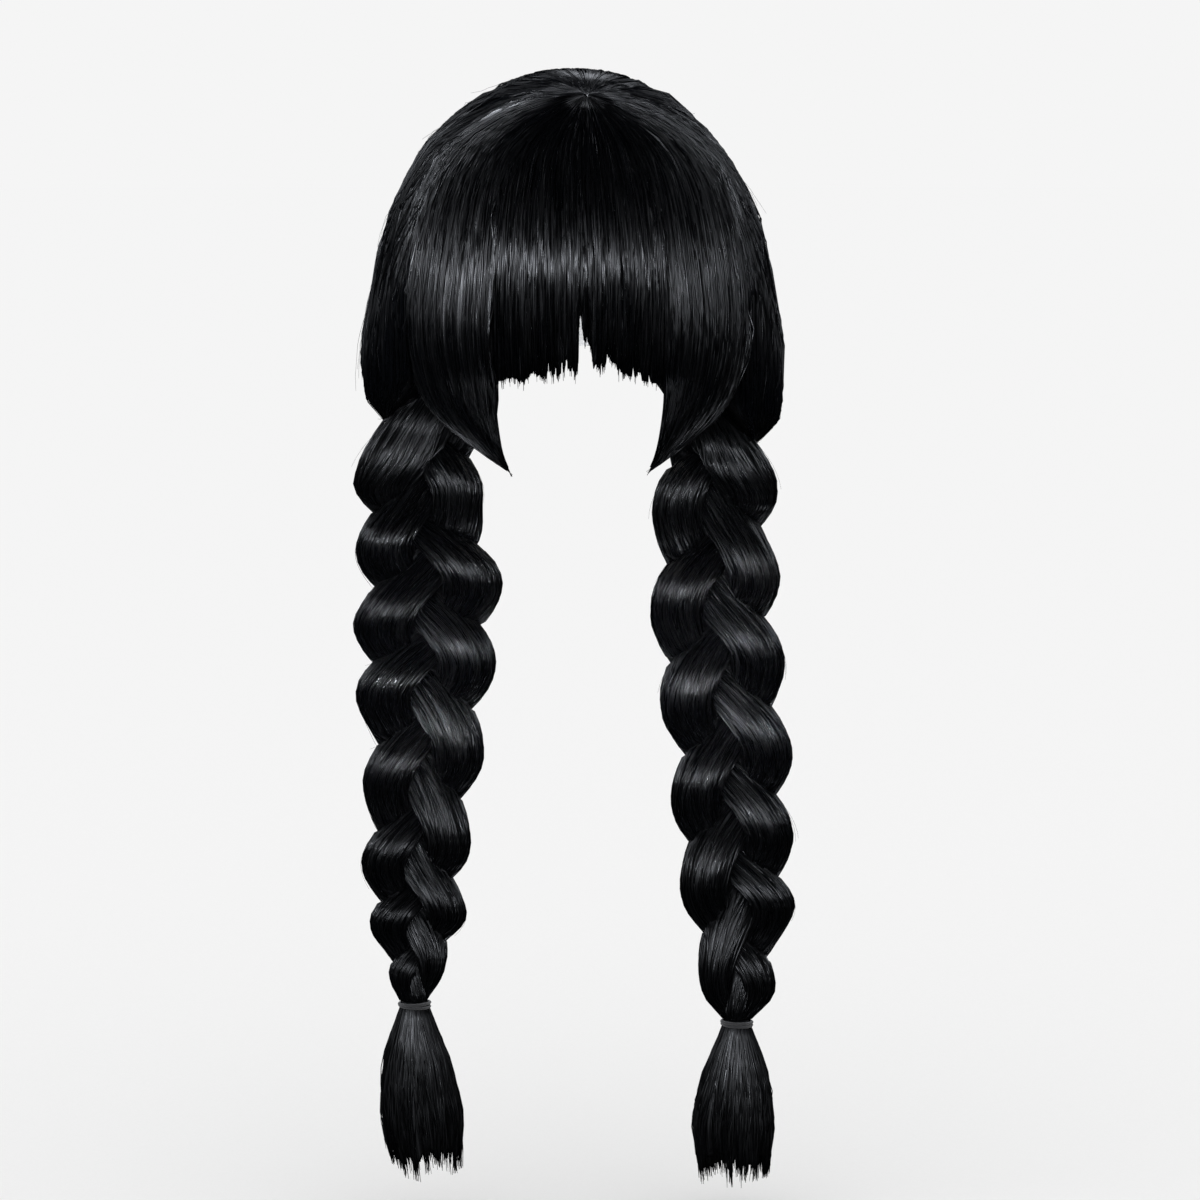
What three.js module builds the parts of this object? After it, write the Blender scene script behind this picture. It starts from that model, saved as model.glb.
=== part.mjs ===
// Long black wig: a blunt fringe, two cheek locks and two three-strand braids on a thin cap.
// Millimetres, +Z up. The face opening looks along -Y and the viewer's left is -X.
// The origin is the inside of the cap's crown, where it rests on the top of the head.

import * as THREE from "three";

// Driving dimensions

const fitGap = 0.6; // clear space between neighbouring pieces
const rootGap = 1.5; // clear space between the cap and the roots of the hair, before facets close it

const head = {
  halfWidth: 75, front: 91, back: 99, // half sizes of the head at its girth
  girthZ: -100, power: 2.2, // height of the girth, roundness of the skull
  napeTaper: 0.18, sideTaper: 0.06, taperDepth: 50, // how the head draws in below the girth
};

const cap = { wall: 1.6, browZ: -48, earZ: -112, napeZ: -134, columns: 28, rows: 7 };

const dome = {
  halfWidth: 110.5, front: 112, back: 120, // half sizes of the hair at its widest level
  topZ: 17, widestZ: -140, power: 2.15,
};

const whorl = { x: 5, y: -48, radius: 2.5, sunk: 0.98 };

// Fringe: half angle of its fan, level of its swell, and the height at which each lock is cut
const fringe = {
  halfAngle: 25.5, rows: 10, columnsPerLock: 3, cutShare: 0.93,
  lockEndZ: [-141, -140, -138, -136, -130, -132, -137, -141],
  notchRise: 4, slitLock: 4, slitTopZ: -110, relief: 1.4,
};

// Cheek lock: path of its inner and outer edge, as angle from the front, height and share of the dome
const cheekLock = {
  rows: 12, locks: 4, columnsPerLock: 3, relief: 1.6,
  path: [
    { inAngle: 25.5, inZ: -28, inShare: 1.0, outAngle: 54, outZ: -28, outShare: 1.0 },
    { inAngle: 25.5, inZ: -85, inShare: 1.0, outAngle: 54, outZ: -85, outShare: 1.0 },
    { inAngle: 25.5, inZ: -118, inShare: 0.985, outAngle: 53.5, outZ: -118, outShare: 0.985 },
    { inAngle: 25.5, inZ: -140, inShare: 0.94, outAngle: 52.8, outZ: -140, outShare: 0.945 },
    { inAngle: 26.9, inZ: -157, inShare: 0.88, outAngle: 49.9, outZ: -160, outShare: 0.887 },
    { inAngle: 26.9, inZ: -175, inShare: 0.82, outAngle: 40.5, outZ: -174.5, outShare: 0.81 },
    { inAngle: 26.5, inZ: -183, inShare: 0.793, outAngle: 32.8, outZ: -183.5, outShare: 0.786 },
    { inAngle: 25.3, inZ: -190, inShare: 0.773, outAngle: 26.5, outZ: -190.5, outShare: 0.778 },
  ],
};

// Side and back hair: lines from the temple round to the nape. Each starts at the whorl or along
// the parting, passes two points of the dome and one at a lift above the braid's root, and ends at
// an angle round that root.
const backHair = {
  rows: 13, locks: 8, columnsPerLock: 3, relief: 2.2,
  partTopAngle: -18, partNapeAngle: 87, napeShare: 0.86,
  lines: [
    { part: 0.0, a1: 55, z1: -30, s1: 0.985, a2: 56.5, z2: -95, s2: 0.98, a3: 63, lift: 30, s3: 0.95, root: -40 },
    { part: 0.0, a1: 80, z1: -25, s1: 1.0, a2: 82, z2: -95, s2: 1.0, a3: 83, lift: 19, s3: 1.0, root: 20 },
    { part: 0.0, a1: 110, z1: -18, s1: 1.0, a2: 104, z2: -90, s2: 1.0, a3: 96, lift: 17, s3: 1.0, root: 75 },
    { part: 0.12, a1: 140, z1: -8, s1: 1.0, a2: 126, z2: -85, s2: 1.0, a3: 108, lift: 18, s3: 0.96, root: 125 },
    { part: 0.38, a1: 160, z1: -38, s1: 1.0, a2: 144, z2: -95, s2: 0.98, a3: 121, lift: 20, s3: 0.9, root: 165 },
    { part: 0.7, a1: 166, z1: -88, s1: 0.99, a2: 150, z2: -118, s2: 0.94, a3: 130, lift: 24, s3: 0.85, root: 200 },
    { part: 1.0, a1: 170, z1: -135, s1: 0.86, a2: 156, z2: -138, s2: 0.83, a3: 138, lift: 28, s3: 0.78, root: 232 },
  ],
};

// Braids: heights of the bulges on the outer and inner side, then the axis and half width by height
const braidShape = {
  sides: 8, slices: 46, passes: 4, swing: 0.45, depthSwing: 0.27, depthLag: 0.4, strandDepth: 0.46, corner: 14,
};

const braids = [
  {
    name: "left", side: -1, rootZ: -168, endZ: -477.5,
    outerBulgeZ: [-199, -236, -276, -314, -360, -403, -437, -469],
    innerBulgeZ: [-218, -255, -299, -348, -395, -432, -464],
    axis: [
      { z: -168, out: 78, y: 8, halfWidth: 22.5 },
      { z: -183, out: 80.5, y: 4, halfWidth: 29 },
      { z: -199, out: 81.5, y: 0, halfWidth: 33.7 },
      { z: -246, out: 77, y: -8, halfWidth: 37.8 },
      { z: -300, out: 79.2, y: -11, halfWidth: 36.5 },
      { z: -348, out: 80.5, y: -12, halfWidth: 31 },
      { z: -402, out: 84.8, y: -13, halfWidth: 27.4 },
      { z: -434, out: 84, y: -13.5, halfWidth: 24.5 },
      { z: -461, out: 85, y: -14, halfWidth: 14.5 },
      { z: -478, out: 85.3, y: -14, halfWidth: 8 },
    ],
    tassel: [
      { z: -478, out: 85.5, radius: 7 },
      { z: -484.5, out: 85.7, radius: 7 },
      { z: -493.5, out: 85.6, radius: 12.4 },
      { z: -504.5, out: 84.9, radius: 16.4 },
      { z: -521, out: 83.6, radius: 20 },
      { z: -543, out: 81.6, radius: 22 },
      { z: -564, out: 79.4, radius: 19.6 },
    ],
  },
  {
    name: "right", side: 1, rootZ: -181, endZ: -489.5,
    outerBulgeZ: [-205, -253, -297, -346, -390, -430, -473],
    innerBulgeZ: [-214, -268, -322, -369, -421, -473],
    axis: [
      { z: -181, out: 75.5, y: 6, halfWidth: 22.5 },
      { z: -192, out: 75.6, y: 3, halfWidth: 28.5 },
      { z: -205, out: 75.6, y: 0, halfWidth: 32 },
      { z: -252, out: 75, y: -8, halfWidth: 33.4 },
      { z: -297, out: 77, y: -11, halfWidth: 34 },
      { z: -346, out: 83.2, y: -12, halfWidth: 32 },
      { z: -389, out: 84.6, y: -13, halfWidth: 31.2 },
      { z: -427, out: 88, y: -13.5, halfWidth: 29 },
      { z: -463, out: 87.3, y: -14, halfWidth: 20.7 },
      { z: -479, out: 87.8, y: -14, halfWidth: 16.8 },
      { z: -490, out: 87.2, y: -14, halfWidth: 8.4 },
    ],
    tassel: [
      { z: -490, out: 87.2, radius: 7 },
      { z: -496.5, out: 87.1, radius: 7 },
      { z: -506, out: 86.8, radius: 13 },
      { z: -523, out: 86.4, radius: 18.8 },
      { z: -545, out: 85.4, radius: 22 },
      { z: -569, out: 86, radius: 19.8 },
    ],
  },
];

const rootRing = { halfWidth: 22, halfDepth: 20, wall: 13 };

const tassel = { y: -14, flutes: 12, fluteDepth: 0.07, depthShare: 0.92, ragged: 4, hollow: 7 };

const tie = { outer: 9.2, wall: 1.7, height: 6.4, coils: 2, segments: 20 };

const materials = {
  hair: new THREE.MeshStandardMaterial({ name: "hair", color: 0x0a0a0c, roughness: 0.45 }),
  capNet: new THREE.MeshStandardMaterial({ name: "cap_net", color: 0x141416, roughness: 0.9 }),
  elastic: new THREE.MeshStandardMaterial({ name: "elastic", color: 0x222226, roughness: 0.8 }),
};

// Shared geometry

const mix = THREE.MathUtils.lerp;
const rad = THREE.MathUtils.degToRad;
const ease = (x, from, to) => THREE.MathUtils.smoothstep(x, from, to);
const point = (x, y, z) => new THREE.Vector3(x, y, z);

// Repeatable scatter between -1 and 1 for the number n.
function scatter(n) {
  const s = Math.sin(n * 127.1 + 31.7) * 43758.5453;
  return 2 * (s - Math.floor(s)) - 1;
}

// Smooth curve through the values ys at rising xs, carried on straight beyond both ends.
function curveThrough(xs, ys) {
  const last = xs.length - 1;
  const slope = xs.map((x, i) => {
    const before = Math.max(i - 1, 0);
    const after = Math.min(i + 1, last);
    return (ys[after] - ys[before]) / (xs[after] - xs[before]);
  });
  return (x) => {
    if (x <= xs[0]) return ys[0] + slope[0] * (x - xs[0]);
    if (x >= xs[last]) return ys[last] + slope[last] * (x - xs[last]);
    let i = 0;
    while (x > xs[i + 1]) i += 1;
    const span = xs[i + 1] - xs[i];
    const t = (x - xs[i]) / span;
    const hold = (1 + 2 * t) * (1 - t) ** 2;
    const pull = t * (1 - t) ** 2 * span;
    return hold * ys[i] + pull * slope[i] + (1 - hold) * ys[i + 1] - t * t * (1 - t) * span * slope[i + 1];
  };
}

// Curve of one column of a table whose rows run downwards by z.
function byHeight(rows, column) {
  const curve = curveThrough(rows.map((r) => -r.z), rows.map((r) => r[column]));
  return (z) => curve(-z);
}

// Distance from the dome's centre to the hair's outer form in a direction.
function domeRadius(dir) {
  const depth = dir.y < 0 ? dome.front : dome.back;
  const plan = Math.hypot(dir.x / dome.halfWidth, dir.y / depth);
  const rise = Math.max(dir.z, 0) / (dome.topZ - dome.widestZ);
  return (plan ** dome.power + rise ** dome.power) ** (-1 / dome.power);
}

// Point at an angle from the front and a height, at a share of the dome's plan.
function domePoint(side, angle, z, share) {
  const rise = Math.max(z - dome.widestZ, 0) / (dome.topZ - dome.widestZ);
  const plan = share * (1 - rise ** dome.power) ** (1 / dome.power);
  const across = Math.sin(rad(angle));
  const ahead = Math.cos(rad(angle));
  const depth = ahead > 0 ? dome.front : dome.back;
  return point(side * dome.halfWidth * plan * across, -depth * plan * ahead, z);
}

const domeCentre = point(0, 0, dome.widestZ);

// Start of a line of hair: a small ring round the whorl, towards the line's next point.
function whorlPoint(next) {
  const away = Math.hypot(next.x - whorl.x, next.y - whorl.y);
  const x = whorl.x + (whorl.radius * (next.x - whorl.x)) / away;
  const y = whorl.y + (whorl.radius * (next.y - whorl.y)) / away;
  const plan = Math.hypot(x / dome.halfWidth, y / dome.front);
  const rise = (1 - plan ** dome.power) ** (1 / dome.power);
  return point(x, y, dome.widestZ + (dome.topZ - dome.widestZ) * rise * whorl.sunk);
}

// Line of hair through the points, curved with the dome between them and even along its length.
function flowLine(points) {
  const dirs = points.map((p) => p.clone().sub(domeCentre).normalize());
  const shares = points.map((p, i) => p.distanceTo(domeCentre) / domeRadius(dirs[i]));
  const knots = [0];
  for (let i = 1; i < points.length; i += 1) knots.push(knots[i - 1] + points[i].distanceTo(points[i - 1]));
  const curves = ["x", "y", "z"].map((axis) => curveThrough(knots, dirs.map((d) => d[axis])));
  const shareCurve = curveThrough(knots, shares);
  const at = (t) => {
    const dir = point(curves[0](t), curves[1](t), curves[2](t)).normalize();
    return dir.clone().multiplyScalar(shareCurve(t) * domeRadius(dir)).add(domeCentre);
  };
  const steps = 72;
  const total = knots[knots.length - 1];
  const marks = [];
  for (let i = 0; i <= steps; i += 1) marks.push(at((total * i) / steps));
  const run = [0];
  for (let i = 1; i <= steps; i += 1) run.push(run[i - 1] + marks[i].distanceTo(marks[i - 1]));
  return (share) => {
    const goal = share * run[steps];
    let i = 0;
    while (i < steps - 1 && run[i + 1] < goal) i += 1;
    return marks[i].clone().lerp(marks[i + 1], (goal - run[i]) / (run[i + 1] - run[i]));
  };
}

// Head surface behind a point of the hair: where it is measured from, which way, and how far.
function headBehind(p) {
  const anchor = point(0, 0, Math.max(Math.min(p.z, head.girthZ), head.girthZ - 200));
  if (p.z > head.girthZ) anchor.z = head.girthZ;
  const out = p.clone().sub(anchor);
  const away = out.length();
  out.normalize();
  const depth = out.y < 0 ? head.front : head.back;
  const plan = Math.hypot(out.x / head.halfWidth, out.y / depth);
  const rise = Math.max(out.z, 0) / -head.girthZ;
  let reach = (plan ** head.power + rise ** head.power) ** (-1 / head.power);
  const below = Math.min(Math.max(head.girthZ - p.z, 0) / head.taperDepth, 1);
  const behind = (1 + out.y / Math.hypot(out.x, out.y)) / 2;
  reach *= 1 - below ** 2 * mix(head.sideTaper, head.napeTaper, behind || 0);
  return { anchor, out, away, reach };
}

// Closed solid from an outer and an inner grid of points.
function shell(outer, inner) {
  const rows = outer.length;
  const columns = outer[0].length;
  const position = [];
  const index = [];
  [outer, inner].forEach((grid) => grid.forEach((row) => row.forEach((p) => position.push(p.x, p.y, p.z))));
  const o = (j, i) => j * columns + i;
  const n = (j, i) => rows * columns + j * columns + i;
  const quad = (a, b, c, d) => index.push(a, b, c, a, c, d);
  for (let j = 0; j < rows - 1; j += 1) {
    for (let i = 0; i < columns - 1; i += 1) {
      quad(o(j, i), o(j + 1, i), o(j + 1, i + 1), o(j, i + 1));
      quad(n(j, i), n(j, i + 1), n(j + 1, i + 1), n(j + 1, i));
    }
    quad(o(j, 0), n(j, 0), n(j + 1, 0), o(j + 1, 0));
    quad(o(j, columns - 1), o(j + 1, columns - 1), n(j + 1, columns - 1), n(j, columns - 1));
  }
  for (let i = 0; i < columns - 1; i += 1) {
    quad(o(0, i), o(0, i + 1), n(0, i + 1), n(0, i));
    quad(o(rows - 1, i), n(rows - 1, i), n(rows - 1, i + 1), o(rows - 1, i + 1));
  }
  return solid(position, index);
}

// Closed solid from rings of equal count, with a point closing each end.
function loft(rings, topPoint, endPoint) {
  const count = rings[0].length;
  const position = [];
  const index = [];
  rings.forEach((ring) => ring.forEach((p) => position.push(p.x, p.y, p.z)));
  position.push(topPoint.x, topPoint.y, topPoint.z, endPoint.x, endPoint.y, endPoint.z);
  const top = rings.length * count;
  const end = top + 1;
  for (let i = 0; i < count; i += 1) {
    const k = (i + 1) % count;
    for (let j = 0; j < rings.length - 1; j += 1) {
      const a = j * count;
      const b = a + count;
      index.push(a + i, b + i, b + k, a + i, b + k, a + k);
    }
    const b = (rings.length - 1) * count;
    index.push(top, i, k, end, b + k, b + i);
  }
  return solid(position, index);
}

// Geometry turned so that its faces look outwards.
function solid(position, index) {
  const corner = (i) => point(position[3 * i], position[3 * i + 1], position[3 * i + 2]);
  let volume = 0;
  for (let i = 0; i < index.length; i += 3) {
    volume += corner(index[i]).dot(corner(index[i + 1]).cross(corner(index[i + 2])));
  }
  if (volume < 0) {
    for (let i = 0; i < index.length; i += 3) [index[i], index[i + 1]] = [index[i + 1], index[i]];
  }
  const geometry = new THREE.BufferGeometry();
  geometry.setAttribute("position", new THREE.Float32BufferAttribute(position, 3));
  geometry.setIndex(index);
  geometry.computeVertexNormals();
  return geometry;
}

// Sheet of hair over the cap. line(u) gives the line of hair at share u across, thickness(v) its
// depth at share v along, and gather an optional axis that the sheet closes round at its end.
function hairSheet({ rows, locks, columnsPerLock, relief, line, thickness, gather }) {
  const columns = locks * columnsPerLock;
  const outer = [];
  const inner = [];
  for (let j = 0; j <= rows; j += 1) {
    const v = j / rows;
    const width = line(0)(v).distanceTo(line(1)(v));
    const inset = Math.min(0.2, fitGap / 2 / width);
    const outerRow = [];
    const innerRow = [];
    for (let i = 0; i <= columns; i += 1) {
      const u = i / columns;
      const p = line(mix(inset, 1 - inset, u))(v);
      const behind = headBehind(p);
      const pulled = gather ? ease(v, 0.72, 0.98) : 0;
      if (pulled > 0) behind.anchor.lerp(point(gather.x, gather.y, p.z), pulled);
      const out = p.clone().sub(behind.anchor);
      const away = out.length();
      out.normalize();
      const swell = relief * (Math.abs(Math.sin(Math.PI * locks * u)) - 0.6) * ease(v, 0.0, 0.35);
      const floor = mix(behind.reach + cap.wall + rootGap, 0.3 * away, pulled);
      const depth = Math.max(floor, away - thickness(v));
      outerRow.push(behind.anchor.clone().addScaledVector(out, away + swell));
      innerRow.push(behind.anchor.clone().addScaledVector(out, depth));
    }
    outer.push(outerRow);
    inner.push(innerRow);
  }
  return shell(outer, inner);
}

const wig = new THREE.Group();
wig.name = "braided_wig";

function add(name, geometry, material) {
  const mesh = new THREE.Mesh(geometry, material);
  mesh.name = name;
  wig.add(mesh);
}

// Cap: follows the skull from the crown to an edge that clears the brow, ears and nape

function capEdgeZ(angle) {
  const edge = curveThrough([0, 50, 85, 125, 180], [cap.browZ, -82, cap.earZ, -129, cap.napeZ]);
  return edge(angle);
}

function capPoint(turn, share, thick) {
  const angle = Math.abs(turn);
  const edgeZ = capEdgeZ(angle);
  const depth = angle < 90 ? head.front : head.back;
  const plan = Math.hypot(head.halfWidth * Math.sin(rad(angle)), depth * Math.cos(rad(angle)));
  const tilt = mix(0.03, Math.atan2(plan, edgeZ - head.girthZ), share);
  const away = point(
    Math.sin(tilt) * head.halfWidth * Math.sin(rad(turn)) / plan,
    -Math.sin(tilt) * depth * Math.cos(rad(turn)) / plan,
    Math.cos(tilt),
  );
  const probe = away.clone().multiplyScalar(90).add(point(0, 0, head.girthZ));
  if (away.z < 0) probe.set(plan * away.x, plan * away.y, head.girthZ + (plan * away.z) / Math.sin(tilt));
  const at = headBehind(probe);
  return at.anchor.clone().addScaledVector(at.out, at.reach + thick);
}

function capGeometry() {
  const position = [];
  const index = [];
  const { columns, rows, wall } = cap;
  [wall, 0].forEach((thick) => {
    for (let j = 0; j <= rows; j += 1) {
      for (let i = 0; i < columns; i += 1) {
        const p = capPoint(-180 + (360 * i) / columns, j / rows, thick);
        position.push(p.x, p.y, p.z);
      }
    }
  });
  const layer = (rows + 1) * columns;
  position.push(0, 0, wall, 0, 0, 0);
  for (let i = 0; i < columns; i += 1) {
    const k = (i + 1) % columns;
    for (let j = 0; j < rows; j += 1) {
      const a = j * columns;
      const b = a + columns;
      index.push(a + i, b + i, b + k, a + i, b + k, a + k);
      index.push(layer + a + i, layer + b + k, layer + b + i, layer + a + i, layer + a + k, layer + b + k);
    }
    const e = rows * columns;
    index.push(e + i, layer + e + i, layer + e + k, e + i, layer + e + k, e + k);
    index.push(2 * layer, i, k, 2 * layer + 1, layer + k, layer + i);
  }
  return solid(position, index);
}

add("cap", capGeometry(), materials.capNet);

// Fringe: fans out from the whorl, swells over the brow and is cut in ragged locks

function fringeLine(u) {
  const locks = fringe.lockEndZ.length;
  const column = u * locks * fringe.columnsPerLock;
  const nearest = Math.round(column);
  const lock = Math.min(Math.floor(column / fringe.columnsPerLock), locks - 1);
  const between = nearest % fringe.columnsPerLock === 0;
  let endZ = fringe.lockEndZ[lock] + (between ? fringe.notchRise : 1.5 * scatter(nearest));
  if (nearest === fringe.slitLock * fringe.columnsPerLock) endZ = fringe.slitTopZ;
  const angle = mix(-fringe.halfAngle, fringe.halfAngle, u);
  const cutShare = mix(1, fringe.cutShare, ease(-endZ, 85, 140));
  const points = [
    domePoint(1, angle, -28, 1),
    domePoint(1, angle, -85, 1),
    domePoint(1, angle, endZ, cutShare),
  ];
  return flowLine([whorlPoint(points[0]), ...points]);
}

add("fringe", hairSheet({
  rows: fringe.rows, locks: fringe.lockEndZ.length, columnsPerLock: fringe.columnsPerLock,
  relief: fringe.relief, line: fringeLine,
  thickness: (v) => mix(40, 13, ease(v, 0.35, 0.6)) - 8.5 * ease(v, 0.6, 1),
}), materials.hair);

// Cheek locks: run on from the fringe's sides and close to a point

function cheekLine(side, u) {
  const points = cheekLock.path.map((row) => domePoint(
    side, mix(row.inAngle, row.outAngle, u), mix(row.inZ, row.outZ, u), mix(row.inShare, row.outShare, u),
  ));
  return flowLine([whorlPoint(points[0]), ...points]);
}

braids.forEach((braid) => add(`side_lock_${braid.name}`, hairSheet({
  rows: cheekLock.rows, locks: cheekLock.locks, columnsPerLock: cheekLock.columnsPerLock,
  relief: cheekLock.relief, line: (u) => cheekLine(braid.side, u),
  thickness: (v) => mix(40, 11, ease(v, 0.28, 0.5)) - 9 * ease(v, 0.5, 1),
}), materials.hair));

// Side and back hair: parted at the back and gathered round the root of each braid

function partPoint(side, share) {
  const tilt = rad(mix(backHair.partTopAngle, backHair.partNapeAngle, share));
  const dir = point(0, Math.sin(tilt), Math.cos(tilt));
  const drawnIn = mix(1, backHair.napeShare, ease(share, 0.6, 1));
  const p = dir.multiplyScalar(drawnIn * domeRadius(dir)).add(domeCentre);
  p.x = side * fitGap;
  return p;
}

function backLine(braid, u) {
  const rows = backHair.lines;
  const marks = rows.map((row, i) => i / (rows.length - 1));
  const read = (column) => curveThrough(marks, rows.map((row) => row[column]))(u);
  const points = [
    domePoint(braid.side, read("a1"), read("z1"), read("s1")),
    domePoint(braid.side, read("a2"), read("z2"), read("s2")),
    domePoint(braid.side, read("a3"), braid.rootZ + read("lift"), read("s3")),
  ];
  const turn = rad(read("root"));
  const root = braid.axis[0];
  points.push(point(
    braid.side * (root.out + rootRing.halfWidth * Math.sin(turn)),
    root.y - rootRing.halfDepth * Math.cos(turn),
    braid.rootZ + fitGap,
  ));
  const part = Math.max(read("part"), 0);
  const fromWhorl = whorlPoint(points[0]);
  const start = fromWhorl.lerp(partPoint(braid.side, part), ease(part, 0, 0.05));
  return flowLine([start, ...points]);
}

braids.forEach((braid) => add(`crown_hair_${braid.name}`, hairSheet({
  rows: backHair.rows, locks: backHair.locks, columnsPerLock: backHair.columnsPerLock,
  relief: backHair.relief, line: (u) => backLine(braid, u),
  thickness: (v) => mix(40, rootRing.wall, ease(v, 0.62, 0.9)),
  gather: { x: braid.side * braid.axis[0].out, y: braid.axis[0].y },
}), materials.hair));

// Braids: three strands pass over each other, each filling the room its neighbours leave

function bulgeClock(bulgeZ, offset) {
  const curve = curveThrough(bulgeZ.map((z) => -z), bulgeZ.map((z, n) => ((n + offset) * 2 * Math.PI) / 3));
  return (z) => curve(-z);
}

// Form of a braid by height: its turns, its axis and where the middles of its strands lie.
function braidLayout(braid) {
  const outerClock = bulgeClock(braid.outerBulgeZ, 0);
  const innerClock = bulgeClock(braid.innerBulgeZ, 0.5);
  const halfWidth = byHeight(braid.axis, "halfWidth");
  const clock = (z) => (outerClock(z) + innerClock(z)) / 2;
  const middles = (z) => [0, 1, 2].map((k) => {
    const base = clock(z) + (k * 2 * Math.PI) / 3;
    const turn = base + ((outerClock(z) - innerClock(z)) / 2) * Math.cos(base);
    const wide = halfWidth(z);
    return [braidShape.swing * wide * Math.cos(turn), braidShape.depthSwing * wide * Math.sin(2 * turn - braidShape.depthLag)];
  });
  return { clock, halfWidth, middles, out: byHeight(braid.axis, "out"), ahead: byHeight(braid.axis, "y") };
}

// Height at which a share of the braid's turns is done.
function heightAt(clock, braid, share) {
  const goal = mix(clock(braid.rootZ), clock(braid.endZ), share);
  let high = braid.rootZ;
  let low = braid.endZ;
  for (let i = 0; i < 40; i += 1) {
    const middle = (high + low) / 2;
    if (clock(middle) < goal) high = middle;
    else low = middle;
  }
  return (high + low) / 2;
}

// Walls towards the two neighbours of a strand: the way across each and how far the strand may reach.
// Both strands are ovals of one shape, so a wall lies where the two ovals would meet.
function strandWalls(middles, strand) {
  const own = middles[strand];
  return middles.filter((other, k) => k !== strand).map((other) => {
    const x = (other[0] - own[0]) / (1 - braidShape.swing) ** 2;
    const y = (other[1] - own[1]) / braidShape.strandDepth ** 2;
    const long = Math.hypot(x, y);
    const apart = ((other[0] - own[0]) * x + (other[1] - own[1]) * y) / long;
    return { x: x / long, y: y / long, reach: apart / 2 - fitGap / 2 };
  });
}

// Outline of a strand across the braid at one height.
function strandOutline(layout, strand, z) {
  const wide = layout.halfWidth(z);
  const middles = layout.middles(z);
  const own = middles[strand];
  const walls = strandWalls(middles, strand);
  const outline = [];
  for (let i = 0; i < braidShape.sides; i += 1) {
    const polar = (2 * Math.PI * i) / braidShape.sides;
    const x = Math.cos(polar);
    const y = Math.sin(polar);
    let tight = Math.hypot(x / ((1 - braidShape.swing) * wide), y / (braidShape.strandDepth * wide)) ** braidShape.corner;
    walls.forEach((wall) => {
      const facing = x * wall.x + y * wall.y;
      if (facing > 0.02) tight += (facing / wall.reach) ** braidShape.corner;
    });
    const reach = tight ** (-1 / braidShape.corner);
    outline.push([own[0] + reach * x, own[1] + reach * y]);
  }
  return outline;
}

// Draws the outlines back wherever a facet between two of them would pass a wall.
function keepApart(layout, strand, heights, outlines) {
  for (let pass = 0; pass < braidShape.passes; pass += 1) {
    for (let j = 0; j < heights.length - 1; j += 1) {
      [0.25, 0.5, 0.75].forEach((share) => {
        const middles = layout.middles(mix(heights[j], heights[j + 1], share));
        const own = middles[strand];
        strandWalls(middles, strand).forEach((wall) => outlines[j].forEach((from, i) => {
          [i, (i + 1) % braidShape.sides].forEach((k) => {
            const to = outlines[j + 1][k];
            const x = mix(from[0], to[0], share) - own[0];
            const y = mix(from[1], to[1], share) - own[1];
            const over = x * wall.x + y * wall.y - wall.reach;
            if (over <= 0) return;
            [from, to].forEach((corner) => {
              corner[0] -= over * wall.x;
              corner[1] -= over * wall.y;
            });
          });
        }));
      });
    }
  }
}

function strandGeometry(braid, strand) {
  const layout = braidLayout(braid);
  const heights = [];
  for (let j = 0; j <= braidShape.slices; j += 1) heights.push(heightAt(layout.clock, braid, j / braidShape.slices));
  const outlines = heights.map((z) => strandOutline(layout, strand, z));
  keepApart(layout, strand, heights, outlines);
  const rings = heights.map((z, j) => outlines[j].map(([x, y]) => (
    point(braid.side * (layout.out(z) + x), layout.ahead(z) + y, z)
  )));
  const middle = (ring) => ring.reduce((sum, p) => sum.add(p), point(0, 0, 0)).divideScalar(ring.length);
  return loft(rings, middle(rings[0]), middle(rings[rings.length - 1]));
}

braids.forEach((braid) => ["a", "b", "c"].forEach((letter, strand) => {
  add(`braid_${braid.name}_strand_${letter}`, strandGeometry(braid, strand), materials.hair);
}));

// Hair ties: an elastic wound in coils round the end of the braid

function tieGeometry(braid) {
  const top = braid.tassel[0];
  const profile = [];
  const bore = tie.outer - tie.wall;
  const steps = tie.coils * 3;
  for (let i = 0; i <= steps; i += 1) {
    const bulge = Math.abs(Math.sin((Math.PI * tie.coils * i) / steps));
    profile.push([tie.outer - 0.9 * (1 - bulge), -0.2 - (tie.height * i) / steps]);
  }
  profile.push([bore, -0.2 - tie.height], [bore, -0.2]);
  const count = profile.length;
  const position = [];
  const index = [];
  for (let s = 0; s < tie.segments; s += 1) {
    const turn = (2 * Math.PI * s) / tie.segments;
    profile.forEach(([r, z]) => position.push(
      braid.side * top.out + r * Math.cos(turn), tassel.y + r * Math.sin(turn), top.z + z,
    ));
    const next = (s + 1) % tie.segments;
    for (let i = 0; i < count; i += 1) {
      const k = (i + 1) % count;
      const a = s * count;
      const b = next * count;
      index.push(a + i, b + i, b + k, a + i, b + k, a + k);
    }
  }
  return solid(position, index);
}

braids.forEach((braid) => add(`hair_tie_${braid.name}`, tieGeometry(braid), materials.elastic));

// Tassels: fluted brush below the tie with a ragged end

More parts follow.
